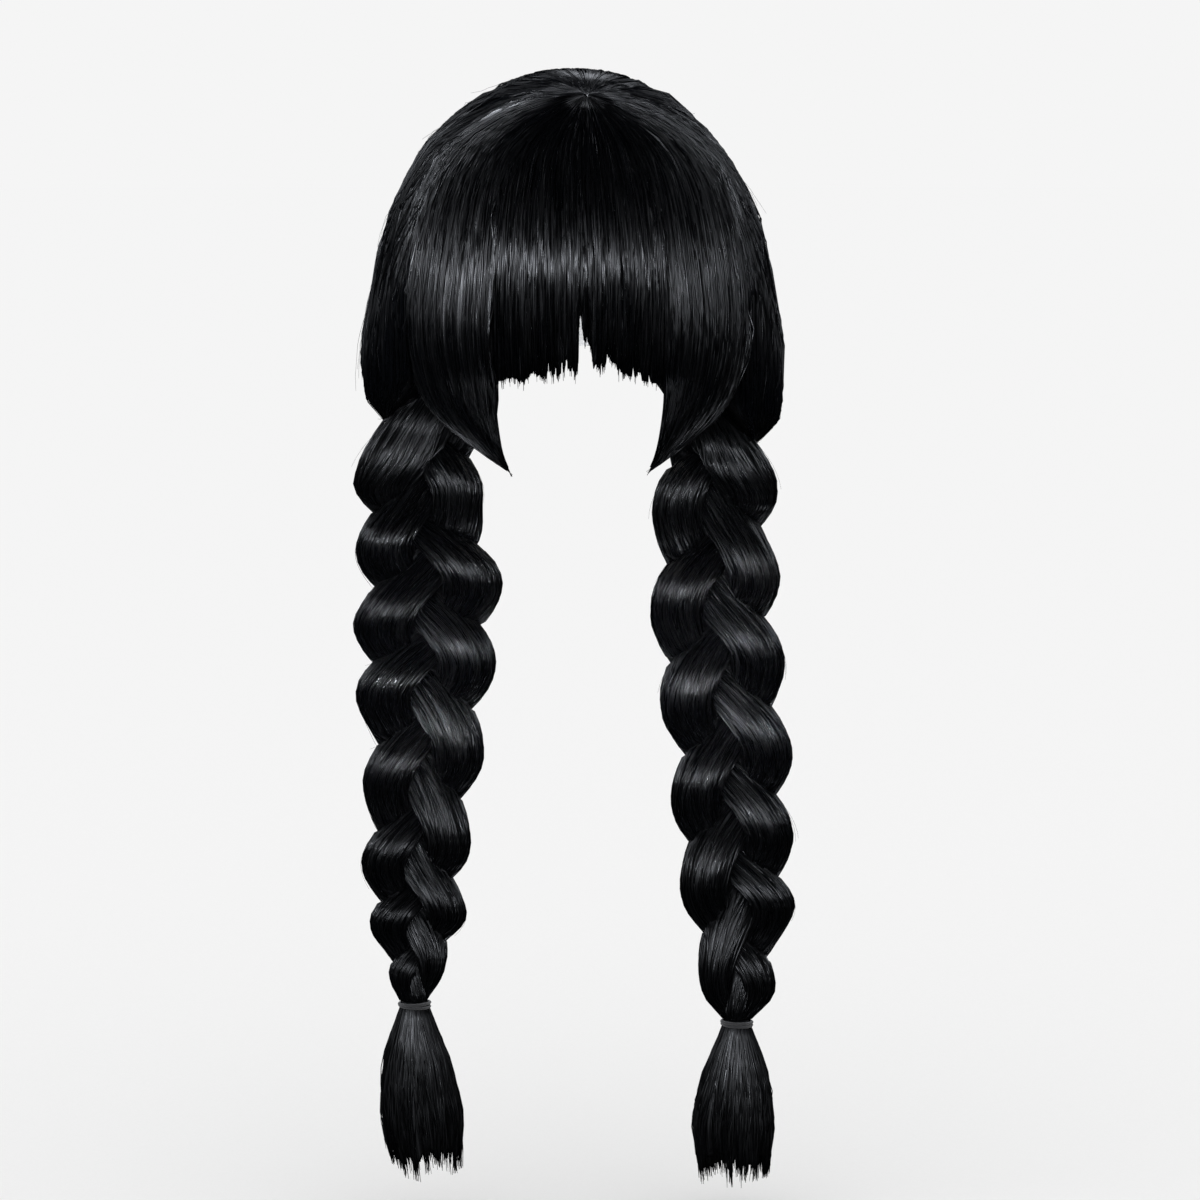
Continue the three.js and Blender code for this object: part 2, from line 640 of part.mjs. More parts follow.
function tasselGeometry(braid) {
  const rows = braid.tassel;
  const count = tassel.flutes * 2;
  const last = rows.length - 1;
  const rings = rows.map((row, j) => {
    const ring = [];
    const spread = j < 2 ? 0 : 1;
    for (let i = 0; i < count; i += 1) {
      const turn = (2 * Math.PI * i) / count;
      const flute = 1 + spread * tassel.fluteDepth * (i % 2 ? -1 : 1);
      const x = braid.side * row.out + row.radius * flute * Math.cos(turn);
      const deep = spread ? tassel.depthShare : 1;
      const y = tassel.y + row.radius * deep * flute * Math.sin(turn);
      const drop = j === last ? tassel.ragged * (scatter(i) + (i % 2 ? 1 : -0.4)) : 0;
      ring.push(point(x, y, row.z + drop));
    }
    return ring;
  });
  const first = rows[0];
  const end = rows[last];
  return loft(
    rings,
    point(braid.side * first.out, tassel.y, first.z),
    point(braid.side * end.out, tassel.y, end.z + tassel.hollow),
  );
}

braids.forEach((braid) => add(`tassel_${braid.name}`, tasselGeometry(braid), materials.hair));

export default wig;
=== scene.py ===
import bpy
import numpy as np
from math import tau
from numpy import cos, pi, radians, sin
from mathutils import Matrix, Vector


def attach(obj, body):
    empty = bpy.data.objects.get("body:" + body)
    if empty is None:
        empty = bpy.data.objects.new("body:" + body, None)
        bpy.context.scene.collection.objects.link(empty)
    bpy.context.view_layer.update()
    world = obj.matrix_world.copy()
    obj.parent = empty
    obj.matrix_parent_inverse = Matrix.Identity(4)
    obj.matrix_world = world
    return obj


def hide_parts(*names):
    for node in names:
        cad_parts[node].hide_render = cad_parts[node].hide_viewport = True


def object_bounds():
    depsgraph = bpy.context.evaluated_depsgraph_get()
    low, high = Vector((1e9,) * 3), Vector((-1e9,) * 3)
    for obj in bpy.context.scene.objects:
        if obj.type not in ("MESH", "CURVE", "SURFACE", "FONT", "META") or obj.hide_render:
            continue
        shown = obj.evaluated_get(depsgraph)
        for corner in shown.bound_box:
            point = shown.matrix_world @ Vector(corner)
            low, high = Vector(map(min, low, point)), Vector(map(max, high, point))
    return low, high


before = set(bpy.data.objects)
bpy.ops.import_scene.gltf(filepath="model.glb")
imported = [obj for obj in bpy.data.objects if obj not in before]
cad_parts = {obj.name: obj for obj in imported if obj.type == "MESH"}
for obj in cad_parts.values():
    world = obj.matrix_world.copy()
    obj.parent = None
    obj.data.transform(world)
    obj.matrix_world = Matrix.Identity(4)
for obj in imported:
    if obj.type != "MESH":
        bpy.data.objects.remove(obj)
cadLow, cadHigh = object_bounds()
print("frame loaded,", len(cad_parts), "nodes")

# Long black wig: blunt fringe, two cheek locks and two plaited braids
# Sizes are in millimetres up to the meshes
mm = 0.001
rootGap = 1.5  # clear space between the cap and the roots of the hair
lineMarks = 97  # points read along a line of hair before it is spaced evenly

domeForm = {"halfWidth": 110.5, "front": 112, "back": 120, "topZ": 17, "widestZ": -140, "power": 2.15}
domeCentre = np.array([0.0, 0.0, domeForm["widestZ"]])
domeHeight = domeForm["topZ"] - domeForm["widestZ"]
capBlock = {"halfWidth": 75, "front": 91, "back": 99, "girthZ": -100, "power": 2.2,
            "napeTaper": 0.18, "sideTaper": 0.06, "taperDepth": 50, "anchorDrop": 200}
whorl = {"x": 5, "y": -48, "radius": 1.4, "sunk": 0.99}
topDrop = {"all": 1.2, "left": 1.6, "x": -55, "wide": 25, "fromZ": -30, "toZ": -5}


def mix(a, b, t):
    return a + (b - a) * t


def ease(x, low, high):
    t = np.clip((x - low) / (high - low), 0, 1)
    return t * t * (3 - 2 * t)


def size(v):
    return np.linalg.norm(v, axis=-1)


def unit(v):
    return v / np.maximum(size(v), 1e-9)[..., None]


def bothEnds(table, part):  # what a table says at the two ends of a part
    return np.take_along_axis(table, part, 0), np.take_along_axis(table, part + 1, 0)


def curveThrough(knots, values, at):  # knots (m, n), values (m, n, d), at (k, n); straight on beyond the ends
    m = len(knots)
    after = np.minimum(np.arange(m) + 1, m - 1)
    before = np.maximum(np.arange(m) - 1, 0)
    slope = (values[after] - values[before]) / (knots[after] - knots[before])[..., None]
    part = (at[:, None] >= knots[None, 1:-1]).sum(1)
    low, high = bothEnds(knots, part)
    span = (high - low)[..., None]
    t = (at - low)[..., None] / span
    v0, v1 = bothEnds(values, part[..., None])
    s0, s1 = bothEnds(slope, part[..., None])
    i = np.clip(t, 0, 1)
    hold = (1 + 2 * i) * (1 - i) ** 2
    curve = hold * v0 + (1 - hold) * v1 + i * (1 - i) ** 2 * span * s0 - i * i * (1 - i) * span * s1
    return curve + np.minimum(t, 0) * span * s0 + np.maximum(t - 1, 0) * span * s1


def readCurve(xs, ys, at):  # one smooth column of a short table
    at = np.asarray(at, float)
    knots = np.asarray(xs, float)[:, None]
    values = np.asarray(ys, float)[:, None, None]
    return curveThrough(knots, values, at.reshape(-1, 1)).reshape(at.shape)


def joined(*axes):  # arrays side by side along a new last axis
    return np.stack(axes, -1)


def steps(count):  # a column of shares from 0 to 1
    return np.linspace(0, 1, count)[:, None]


def around(count):  # angles once round
    return np.linspace(0, tau, count, endpoint=False)


def planShare(form, x, y):  # how far out a point of the plan lies, 1 at the outline
    return np.hypot(x / form["halfWidth"], y / np.where(y < 0, form["front"], form["back"]))


def reachOf(form, height, out):  # how far a rounded form reaches in a direction
    plan, rise = planShare(form, out[..., 0], out[..., 1]), np.maximum(out[..., 2], 0) / height
    return (plan ** form["power"] + rise ** form["power"]) ** (-1 / form["power"])


def domeRadius(out):
    return reachOf(domeForm, domeHeight, out)


def domeArc(share):  # share of the dome's height over a share of its plan, or the reverse
    return (1 - share ** domeForm["power"]) ** (1 / domeForm["power"])


def domeZ(x, y, sunk):
    return domeForm["widestZ"] + domeHeight * domeArc(planShare(domeForm, x, y)) * sunk


def domePoint(side, angle, z, share):  # angle in degrees from the front
    angle, z, share = np.broadcast_arrays(radians(angle), z, share)
    plan = share * domeArc(np.maximum(z - domeForm["widestZ"], 0) / domeHeight)
    ahead = cos(angle)
    depth = np.where(ahead > 0, domeForm["front"], domeForm["back"])
    return joined(side * domeForm["halfWidth"] * plan * sin(angle), -depth * plan * ahead, z)


def settleTop(points):  # the top lies a little low, more so on the left
    near = np.exp(-((points[..., 0] - topDrop["x"]) / topDrop["wide"]) ** 2)
    high = ease(points[..., 2], topDrop["fromZ"], topDrop["toZ"])
    drop = (topDrop["all"] + topDrop["left"] * near) * high
    return points - drop[..., None] * np.array([0, 0, 1])


def whorlPoint(following):  # start of a line on a small ring round the whorl
    centre = np.array([whorl["x"], whorl["y"]])
    xy = centre + whorl["radius"] * unit(following[..., :2] - centre)
    z = domeZ(xy[..., 0], xy[..., 1], whorl["sunk"])
    return np.concatenate([xy, z[..., None]], -1)


def flowLines(points, shares):  # points (m, n, 3): n lines of hair, curved with the dome and evenly spaced
    rel = points - domeCentre
    out = unit(rel)
    lift = size(rel) / domeRadius(out)
    step = size(np.diff(points, axis=0))
    start = np.zeros((1, points.shape[1]))
    knots = np.concatenate([start, np.cumsum(step, 0)])
    at = steps(lineMarks) * knots[-1]
    curve = curveThrough(knots, np.concatenate([out, lift[..., None]], -1), at)
    out = unit(curve[..., :3])
    marks = domeCentre + out * (curve[..., 3] * domeRadius(out))[..., None]
    run = np.concatenate([start, np.cumsum(size(np.diff(marks, axis=0)), 0)])
    run = run / run[-1]
    lines = np.empty((len(shares), points.shape[1], 3))
    for n in range(points.shape[1]):
        for axis in range(3):
            lines[:, n, axis] = np.interp(shares, run[:, n], marks[:, n, axis])
    return lines


def blockBehind(p):  # where a point of the hair is measured from, and how far the cap's inside reaches there
    anchor = np.zeros_like(p)
    anchor[..., 2] = np.clip(p[..., 2], capBlock["girthZ"] - capBlock["anchorDrop"], capBlock["girthZ"])
    out = unit(p - anchor)
    reach = reachOf(capBlock, -capBlock["girthZ"], out)
    below = np.clip((capBlock["girthZ"] - p[..., 2]) / capBlock["taperDepth"], 0, 1)
    behind = (1 + out[..., 1] / np.maximum(np.hypot(out[..., 0], out[..., 1]), 1e-9)) / 2
    reach = reach * (1 - below ** 2 * mix(capBlock["sideTaper"], capBlock["napeTaper"], behind))
    return anchor, reach


# Mesh building: a part is a closed set of points, quads and tris with a UV corner for each loop

bakeMap = "OFBake"
uvShare = {  # place of each kind of surface across the map
    "outer": (0.0, 0.4), "inner": (0.4, 0.48), "edge": (0.485, 0.495), "loft": (0.0, 0.48),
    "core": (0.49, 0.495), "strands": (0.5, 1.0), "fan": (0.97, 0.985), "loose": (0.985, 1.0)}
noTris = {"tris": np.empty((0, 3), int), "triUv": np.empty((0, 3, 2))}


def faceOut(part):  # turns a closed part so that its faces look outwards
    p, q, t = part["points"], part["quads"], part["tris"]
    corners = np.concatenate([q[:, [0, 1, 2]], q[:, [0, 2, 3]], t])
    a, b, c = p[corners[:, 0]], p[corners[:, 1]], p[corners[:, 2]]
    if (a * np.cross(b, c)).sum() < 0:
        part["quads"], part["quadUv"] = q[:, ::-1], part["quadUv"][:, ::-1]
        part["tris"], part["triUv"] = t[:, ::-1], part["triUv"][:, ::-1]
    return part


def gridQuads(rows, columns, wrap, uvBox):
    last = columns if wrap else columns - 1
    j, i = np.mgrid[0:rows - 1, 0:last]
    k = (i + 1) % columns
    quads = joined(j * columns + i, (j + 1) * columns + i, (j + 1) * columns + k, j * columns + k)
    u0, u1 = mix(*uvBox, i / last), mix(*uvBox, (i + 1) / last)
    v0, v1 = j / (rows - 1), (j + 1) / (rows - 1)
    uv = joined(u0, v0, u0, v1, u1, v1, u1, v0)
    return quads.reshape(-1, 4), uv.reshape(-1, 4, 2)


def shellPart(outer, inner, wrap=False):  # two grids of points, closed round their edges
    rows, columns = outer.shape[:2]
    quadsOut, uvOut = gridQuads(rows, columns, wrap, uvShare["outer"])
    quadsIn, uvIn = gridQuads(rows, columns, wrap, uvShare["inner"])
    count = rows * columns
    i = np.arange(columns if wrap else columns - 1)
    k = (i + 1) % columns
    end = (rows - 1) * columns
    rims = [(i, k), (end + k, end + i)]
    if not wrap:
        near = np.arange(rows - 1) * columns
        far = near + columns - 1
        rims += [(near + columns, near), (far, far + columns)]
    edges = np.concatenate([joined(a, b, count + b, count + a) for a, b in rims])
    strip = np.linspace(0, 1, len(edges) + 1)
    left, right = [np.full(len(edges), share) for share in uvShare["edge"]]
    edgeUv = joined(left, strip[:-1], left, strip[1:], right, strip[1:], right, strip[:-1])
    return faceOut({
        "points": np.concatenate([outer.reshape(-1, 3), inner.reshape(-1, 3)]),
        "quads": np.concatenate([quadsOut, count + quadsIn[:, ::-1], edges]),
        "quadUv": np.concatenate([uvOut, uvIn[:, ::-1], edgeUv.reshape(-1, 4, 2)]), **noTris,
    })


def loftPart(rings, uvBox=uvShare["loft"]):  # rings (rows, columns, 3) closed round, with a fan at each end
    rows, columns = rings.shape[:2]
    quads, uv = gridQuads(rows, columns, True, uvBox)
    ends = np.stack([rings[0].mean(0), rings[-1].mean(0)])
    i = np.arange(columns)
    k = (i + 1) % columns
    first = np.full(columns, rows * columns)
    below = (rows - 1) * columns
    tris = np.concatenate([joined(first, i, k), joined(first + 1, below + k, below + i)])
    corner = np.array([[0.482, 0.0], [0.482, 0.01], [0.49, 0.01]])  # one place on the map for both fans
    return faceOut({
        "points": np.concatenate([rings.reshape(-1, 3), ends]), "quads": quads, "quadUv": uv,
        "tris": tris, "triUv": np.broadcast_to(corner, (len(tris), 3, 2)),
    })


def strandPart(lines, outward, radius, uvBox=uvShare["strands"]):  # lines (s, n, 3) as three-sided strands
    s, n = lines.shape[:2]
    along = unit(np.gradient(lines, axis=0))
    up = unit(outward - (outward * along).sum(-1, keepdims=True) * along)
    across = np.cross(along, up)
    turn = tau * np.arange(3) / 3
    ring = up[:, :, None] * cos(turn)[:, None] + across[:, :, None] * sin(turn)[:, None]
    points = lines[:, :, None] + ring * np.broadcast_to(radius, (s, n))[..., None, None]
    points = points.transpose(1, 0, 2, 3).reshape(-1, 3)
    strand, j, k = np.mgrid[0:n, 0:s - 1, 0:3]
    a = (strand * s + j) * 3
    b = (k + 1) % 3
    quads = joined(a + k, a + b, a + 3 + b, a + 3 + k).reshape(-1, 4)
    wide = 0.9 / n  # a tenth of each strand's strip of the map stays free
    u0 = mix(*uvBox, strand / n + wide * k / 3)
    u1 = mix(*uvBox, strand / n + wide * (k + 1) / 3)
    v0, v1 = j / (s - 1), (j + 1) / (s - 1)
    uv = joined(u0, v0, u1, v0, u1, v1, u0, v1).reshape(-1, 4, 2)
    base = np.arange(n) * s * 3
    tip = base + (s - 1) * 3
    tris = np.concatenate([joined(base, base + 2, base + 1), joined(tip, tip + 1, tip + 2)])
    u = mix(*uvBox, np.arange(n) / n)
    w = wide / 3 * (uvBox[1] - uvBox[0])
    low, high = np.zeros(n), np.full(n, 0.998)
    capUv = [joined(u, v, u + w, v, u, v + 0.002).reshape(-1, 3, 2) for v in (low, high)]
    return {"points": points, "quads": quads, "quadUv": uv, "tris": tris, "triUv": np.concatenate(capUv)}


triangleCount = {}


def addObject(name, data):
    thing = bpy.data.objects.new(name, data)
    bpy.context.scene.collection.objects.link(thing)
    return thing


def makePiece(name, parts, material, nodes):
    starts = np.cumsum([0] + [len(p["points"]) for p in parts])
    points = np.concatenate([p["points"] for p in parts]) * mm
    placed = list(zip(parts, starts))
    quads, tris = [np.concatenate([p[kind] + at for p, at in placed]) for kind in ("quads", "tris")]
    loops = np.concatenate([quads.ravel(), tris.ravel()]).astype(np.int32)
    uv = np.concatenate([p[kind].reshape(-1, 2) for kind in ("quadUv", "triUv") for p in parts])
    loopStart = np.concatenate([np.arange(len(quads)) * 4, len(quads) * 4 + np.arange(len(tris)) * 3])
    mesh = bpy.data.meshes.new(name)
    mesh.vertices.add(len(points))
    mesh.vertices.foreach_set("co", points.astype(np.float32).ravel())
    mesh.loops.add(len(loops))
    mesh.loops.foreach_set("vertex_index", loops)
    mesh.polygons.add(len(loopStart))
    mesh.polygons.foreach_set("loop_start", loopStart.astype(np.int32))
    mesh.polygons.foreach_set("use_smooth", np.ones(len(loopStart), bool))
    layer = mesh.uv_layers.new(name=bakeMap)
    layer.data.foreach_set("uv", uv.astype(np.float32).ravel())
    mesh.update(calc_edges=True)
    mesh.validate()
    mesh.materials.append(material)
    piece = addObject(name, mesh)
    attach(piece, "root")
    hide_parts(*nodes)
    triangleCount[name] = 2 * len(quads) + len(tris)
    return piece


# Finishes

def nodeTree(name):
    material = bpy.data.materials.new(name)
    material.use_nodes = True
    return material, material.node_tree, material.node_tree.nodes["Principled BSDF"]


def plug(tree, node, inputs):  # sets each input to a value, or links it to another node's output
    for socket, value in inputs.items():
        if isinstance(value, bpy.types.NodeSocket):
            tree.links.new(value, node.inputs[socket])
        else:
            node.inputs[socket].default_value = value


def addNode(tree, kind, output, inputs=None, **settings):
    node = tree.nodes.new("ShaderNode" + kind)
    for setting, value in settings.items():
        setattr(node, setting, value)
    plug(tree, node, inputs or {})
    return node.outputs[output]


def mapCoords(tree):
    return addNode(tree, "UVMap", "UV", uv_map=bakeMap)


def stretchedCoords(tree, across, along):
    return addNode(tree, "Mapping", "Vector", {"Vector": mapCoords(tree), "Scale": (across, along, 1)})


def stretchedNoise(tree, across, along, detail):  # noise drawn out along the strands
    inputs = {"Vector": stretchedCoords(tree, across, along), "Scale": 1, "Detail": detail}
    return addNode(tree, "TexNoise", "Fac", inputs, noise_dimensions="2D")


def twoTone(tree, fac, finish):
    ramp = tree.nodes.new("ShaderNodeValToRGB")
    for stop, edge, tone in zip(ramp.color_ramp.elements, finish["edges"], finish["tones"]):
        stop.position = edge
        stop.color = (*tone, 1)
    tree.links.new(fac, ramp.inputs["Fac"])
    return ramp.outputs["Color"]


def rangeOf(tree, fac, low, high):  # spreads the middle of a noise over a range
    inputs = {"Value": fac, "From Min": 0.4, "From Max": 0.6, "To Min": low, "To Max": high}
    return addNode(tree, "MapRange", "Result", inputs)


def grainNormal(tree, fac, finish):
    inputs = {"Height": fac, "Strength": finish["grain"], "Distance": finish["depth"]}
    return addNode(tree, "Bump", "Normal", inputs)


def threadLook(tree, shader, fac, finish):  # matt thread with two tones, a raised grain and a little sheen
    plug(tree, shader, {
        "Base Color": twoTone(tree, fac, finish), "Normal": grainNormal(tree, fac, finish),
        "Roughness": finish["roughness"], "Sheen Weight": finish["sheen"]})


hairFinish = {
    "tones": ((0.0003, 0.0004, 0.0006), (0.0012, 0.0014, 0.002)), "edges": (0.35, 0.72),
    "toneScale": (1400, 3), "glossScale": 260, "grainScale": 2600, "streaks": 3, "smooth": 0.2, "rough": 0.44,
    "grain": 0.25, "depth": 0.0003, "anisotropy": 0.75, "ior": 1.5}
plaitFinish = {
    **hairFinish, "smooth": 0.22, "rough": 0.46, "anisotropy": 0.5, "ior": 1.6, "grain": 0.35, "streaks": 10}
brushFinish = {**hairFinish, "smooth": 0.3, "rough": 0.52, "anisotropy": 0.5, "ior": 1.65}


def hairMaterial(name, finish):
    material, tree, shader = nodeTree(name)
    tone = stretchedNoise(tree, *finish["toneScale"], 2)
    gloss = stretchedNoise(tree, finish["glossScale"], finish["streaks"], 3)
    grain = stretchedNoise(tree, finish["grainScale"], finish["streaks"], 3)
    plug(tree, shader, {
        "Base Color": twoTone(tree, tone, finish), "Normal": grainNormal(tree, grain, finish),
        "Roughness": rangeOf(tree, gloss, finish["smooth"], finish["rough"]),
        "Anisotropic": finish["anisotropy"], "IOR": finish["ior"],
        "Tangent": addNode(tree, "Tangent", "Tangent", direction_type="UV_MAP", uv_map=bakeMap)})
    return material


blackHair = hairMaterial("blackHair", hairFinish)
plaitHair = hairMaterial("plaitHair", plaitFinish)
brushHair = hairMaterial("brushHair", brushFinish)

# Cap: sewn rows of weft on a net that fits under the hair

capForm = {"wall": 1.6, "columns": 90, "rows": 60, "topTilt": 0.004, "probe": 90,
           "edge": [(0, -48), (50, -82), (85, -112), (125, -129), (180, -134)],  # degrees round, height
           "wefts": 15, "weftHeight": 0.45, "hemShare": 0.965, "hemHeight": 0.5}
netFinish = {"cells": (420, 130), "uneven": 0.35, "tones": ((0.93, 0.92, 0.9), (0.8, 0.79, 0.77)),
             "edges": (0.05, 0.3), "grain": 0.6, "depth": -0.0004, "roughness": 0.85, "sheen": 0.15}


def capSurface(turn, share, thick):
    angle = np.abs(turn)
    edgeZ = readCurve(*zip(*capForm["edge"]), angle)
    depth = np.where(angle < 90, capBlock["front"], capBlock["back"])
    across, ahead = sin(radians(turn)), cos(radians(turn))
    plan = np.hypot(capBlock["halfWidth"] * across, depth * ahead)
    tilt = mix(capForm["topTilt"], np.arctan2(plan, edgeZ - capBlock["girthZ"]), share)
    away = joined(sin(tilt) * capBlock["halfWidth"] * across / plan,
                  -sin(tilt) * depth * ahead / plan, cos(tilt))
    probe = away * capForm["probe"] + np.array([0, 0, capBlock["girthZ"]])
    lower = joined(plan * away[..., 0], plan * away[..., 1],
                   capBlock["girthZ"] + plan * away[..., 2] / sin(tilt))
    probe = np.where(away[..., 2:] < 0, lower, probe)
    anchor, reach = blockBehind(probe)
    return anchor + unit(probe - anchor) * (reach + thick)[..., None]


def capMaterial():
    material, tree, shader = nodeTree("paleNet")
    coords = stretchedCoords(tree, *netFinish["cells"])
    cells = addNode(tree, "TexVoronoi", "Distance",
                    {"Vector": coords, "Scale": 1, "Randomness": netFinish["uneven"]},
                    voronoi_dimensions="2D", feature="DISTANCE_TO_EDGE")
    threadLook(tree, shader, cells, netFinish)
    return material


def makeCap():
    share, turn = np.meshgrid(np.linspace(0, 1, capForm["rows"] + 1),
                              np.linspace(-180, 180, capForm["columns"], endpoint=False), indexing="ij")
    rowsOfWeft = np.abs(sin(pi * capForm["wefts"] * share)) ** 0.5
    weft = capForm["weftHeight"] * (rowsOfWeft - 1)
    overHem = np.clip((share - capForm["hemShare"]) / (1 - capForm["hemShare"]), 0, 1)
    hem = capForm["hemHeight"] * sin(pi * overHem)
    outer = capSurface(turn, share, capForm["wall"] + weft + hem)
    inner = capSurface(turn, share, -0.5 * hem + 0.25 * (1 - rowsOfWeft))
    return makePiece("wigCap", [shellPart(outer, inner, wrap=True)], capMaterial(), ["cap"])


wigCap = makeCap()
print("cap sewn")

# Sheets of hair and the strands combed over them

ridgeForm = {"drift": 0.35, "cycles": (2.9, 5.3, 9.1, 15.7), "slide": 1.5, "fade": 0.6, "risesBy": 0.18}
gatherForm = {"from": 0.72, "to": 0.98, "inside": 0.3}
combForm = {
    "pull": (0.15, 0.85), "pullAt": (0.1, 0.6), "wanderAt": (0.05, 0.4), "sunk": -0.5, "slowLift": 0.3,
    "fastLift": 0.12, "rootDip": 1.4, "taper": 0.7, "taperFrom": 0.86, "rootFine": 0.45, "fineTo": 0.12}
looseForm = {
    "samples": 12, "length": (0.12, 0.4), "wander": 0.06, "radius": 0.18, "taper": 0.6, "apart": 1e-4}


def waves(rng, t, count, slow=0.6, fast=2.2):  # smooth repeatable wander between about -1 and 1
    total = 0
    for weight in (0.65, 0.35):
        cycles = rng.uniform(slow, fast, count)
        phase = rng.uniform(0, tau, count)
        total = total + weight * sin(tau * cycles * t + phase)
    return total


def onSheet(grid, u, v):  # reads a grid at shares u across and v along, carried on beyond its edges
    rows, columns = grid.shape[0] - 1, grid.shape[1] - 1
    x, y = u * columns, v * rows
    i = np.clip(np.floor(x), 0, columns - 1).astype(int)
    j = np.clip(np.floor(y), 0, rows - 1).astype(int)
    fx, fy = (x - i)[..., None], (y - j)[..., None]
    return mix(mix(grid[j, i], grid[j, i + 1], fx), mix(grid[j + 1, i], grid[j + 1, i + 1], fx), fy)


def clumpCentres(seed, form):  # shares across at which the strands draw together
    return np.sort(np.random.default_rng(seed + 100).uniform(-0.01, 1.01, form["clumps"]))


def nearestClump(u, clumps):
    return np.abs(u[..., None] - clumps).argmin(-1)


def clumpWave(u, v, seed, form):  # each clump rises and falls along its own length, with a groove beside it
    rng = np.random.default_rng(seed + 200)
    clumps = clumpCentres(seed, form)
    group = nearestClump(u, clumps)
    cycles = rng.uniform(1.5, 4.5, len(clumps))[group]
    phase = rng.uniform(0, tau, len(clumps))[group]
    apart = np.abs(u[..., None] - (clumps[1:] + clumps[:-1]) / 2).min(-1) * form["clumps"]
    groove = form["groove"] * np.clip(1 - apart / 0.3, 0, 1)
    return form["tilt"] * sin(tau * cycles * v + phase) - groove


def combRelief(u, v, seed, form):  # locks and finer ridges that run along the hair and drift a little
    rng = np.random.default_rng(seed)
    locks = form["locks"]
    drift = ridgeForm["drift"] / locks * sin(tau * (0.9 * v + 1.7 * u) + seed)
    drift = drift * (1 - 4 * (u - 0.5) ** 2)  # none at the edges
    total = form["lockRelief"] * (np.abs(sin(pi * locks * (u + drift))) - 0.6)
    for cycles in ridgeForm["cycles"]:
        sway = sin(tau * (rng.uniform(0.4, 1.1) * v + rng.uniform()))
        slide = ridgeForm["slide"] / cycles / locks * sway
        height = form["fineRelief"] * (ridgeForm["cycles"][0] / cycles) ** ridgeForm["fade"]
        total = total + height * sin(tau * (cycles * locks * (u + slide) + rng.uniform()))
    return (total + clumpWave(u, v, seed, form)) * ease(v, 0.0, ridgeForm["risesBy"])


def sheetShares(form):
    return np.linspace(0, 1, form["columns"]), np.linspace(0, 1, form["rows"])


def hairSheet(grid, form, relief, plan):  # outer and inner face of a sheet, and the way out of it
    share = steps(len(grid))
    atRoot, along, endThin = form["wall"]
    thickness = mix(atRoot, along, ease(share, *form["wallAt"])) - endThin * ease(share, *form["thinAt"])
    anchor, reach = blockBehind(grid)
    floor = reach + capForm["wall"] + rootGap
    if plan is not None:  # the end closes round the root of a braid
        pulled = ease(share, gatherForm["from"], gatherForm["to"])
        axis = np.empty_like(anchor)
        axis[...] = (plan["side"] * plan["root"][0], plan["root"][1], 0)
        axis[..., 2] = grid[..., 2]
        anchor = mix(anchor, axis, pulled[..., None])
        floor = mix(floor, gatherForm["inside"] * size(grid - anchor), pulled)
    out = unit(grid - anchor)
    away = size(grid - anchor)
    outer = anchor + out * (away + relief)[..., None]
    inner = anchor + out * np.maximum(floor, away - thickness)[..., None]
    return outer, inner, out


def strandsOn(outer, out, u, v, lift, radius, uvBox, nudge=0):  # strands that follow a sheet
    way = unit(onSheet(out, u, v))
    return strandPart(onSheet(outer, u, v) + way * lift[..., None] + nudge, way, radius, uvBox)


def combStrands(rng, seed, outer, out, form, ends):  # ends(count, rng): where along the sheet they are cut
    count = form["strands"]
    t = steps(form["samples"])
    first, last = -form["overhang"][0], 1 + form["overhang"][1]
    u0 = np.sort(rng.uniform(first, last, count))
    v0 = form["rootSpread"] * rng.random(count) ** 2
    v = mix(v0, ends(count, rng), t)
    clumps = clumpCentres(seed, form)
    pull = mix(*combForm["pull"], rng.random(count)) * ease(v, *combForm["pullAt"])
    wander = form["wander"] * waves(rng, v, count) * ease(v, *combForm["wanderAt"])
    u = np.clip(mix(u0, clumps[nearestClump(u0, clumps)], pull) + wander, first, last)
    lift = mix(combForm["sunk"], form["lift"], rng.random(count) ** 1.5)
    lift = lift + combForm["slowLift"] * waves(rng, v, count, 0.4, 1.4)
    lift = lift + combForm["fastLift"] * waves(rng, v, count, 2, 5)
    dip = combForm["rootDip"] * (1 - ease(t, 0, combForm["fineTo"]))
    lift = lift - dip * (v0 > 0.02)  # a strand that starts lower down comes out from under the others
    thin = 1 - combForm["taper"] * ease(t, combForm["taperFrom"], 1)
    fine = mix(combForm["rootFine"], 1, ease(v, 0, combForm["fineTo"]))
    radius = form["radius"] * rng.uniform(0.7, 1.3, count) * thin * fine
    return strandsOn(outer, out, u, v, lift, radius, uvShare["strands"])


def looseStrands(rng, outer, out, count, span, reach):  # fine hairs that stand off the sheet
    t = steps(looseForm["samples"])
    u0 = rng.uniform(0.02, 0.98, count)
    v0 = rng.uniform(*span, count)
    v = np.minimum(v0 + rng.uniform(*looseForm["length"], count) * t, 1.0)
    u = u0 + looseForm["wander"] * waves(rng, t, count, 0.3, 1.0) * t
    lift = reach * rng.random(count) ** 2 * t ** 1.6 * (0.8 + 0.4 * waves(rng, t, count, 0.3, 0.9))
    radius = looseForm["radius"] * (1 - looseForm["taper"] * t)
    nudge = looseForm["apart"] * np.arange(len(t))[:, None, None]  # no two points of a hair meet
    return strandsOn(outer, out, u, v, lift, radius, uvShare["loose"], nudge)


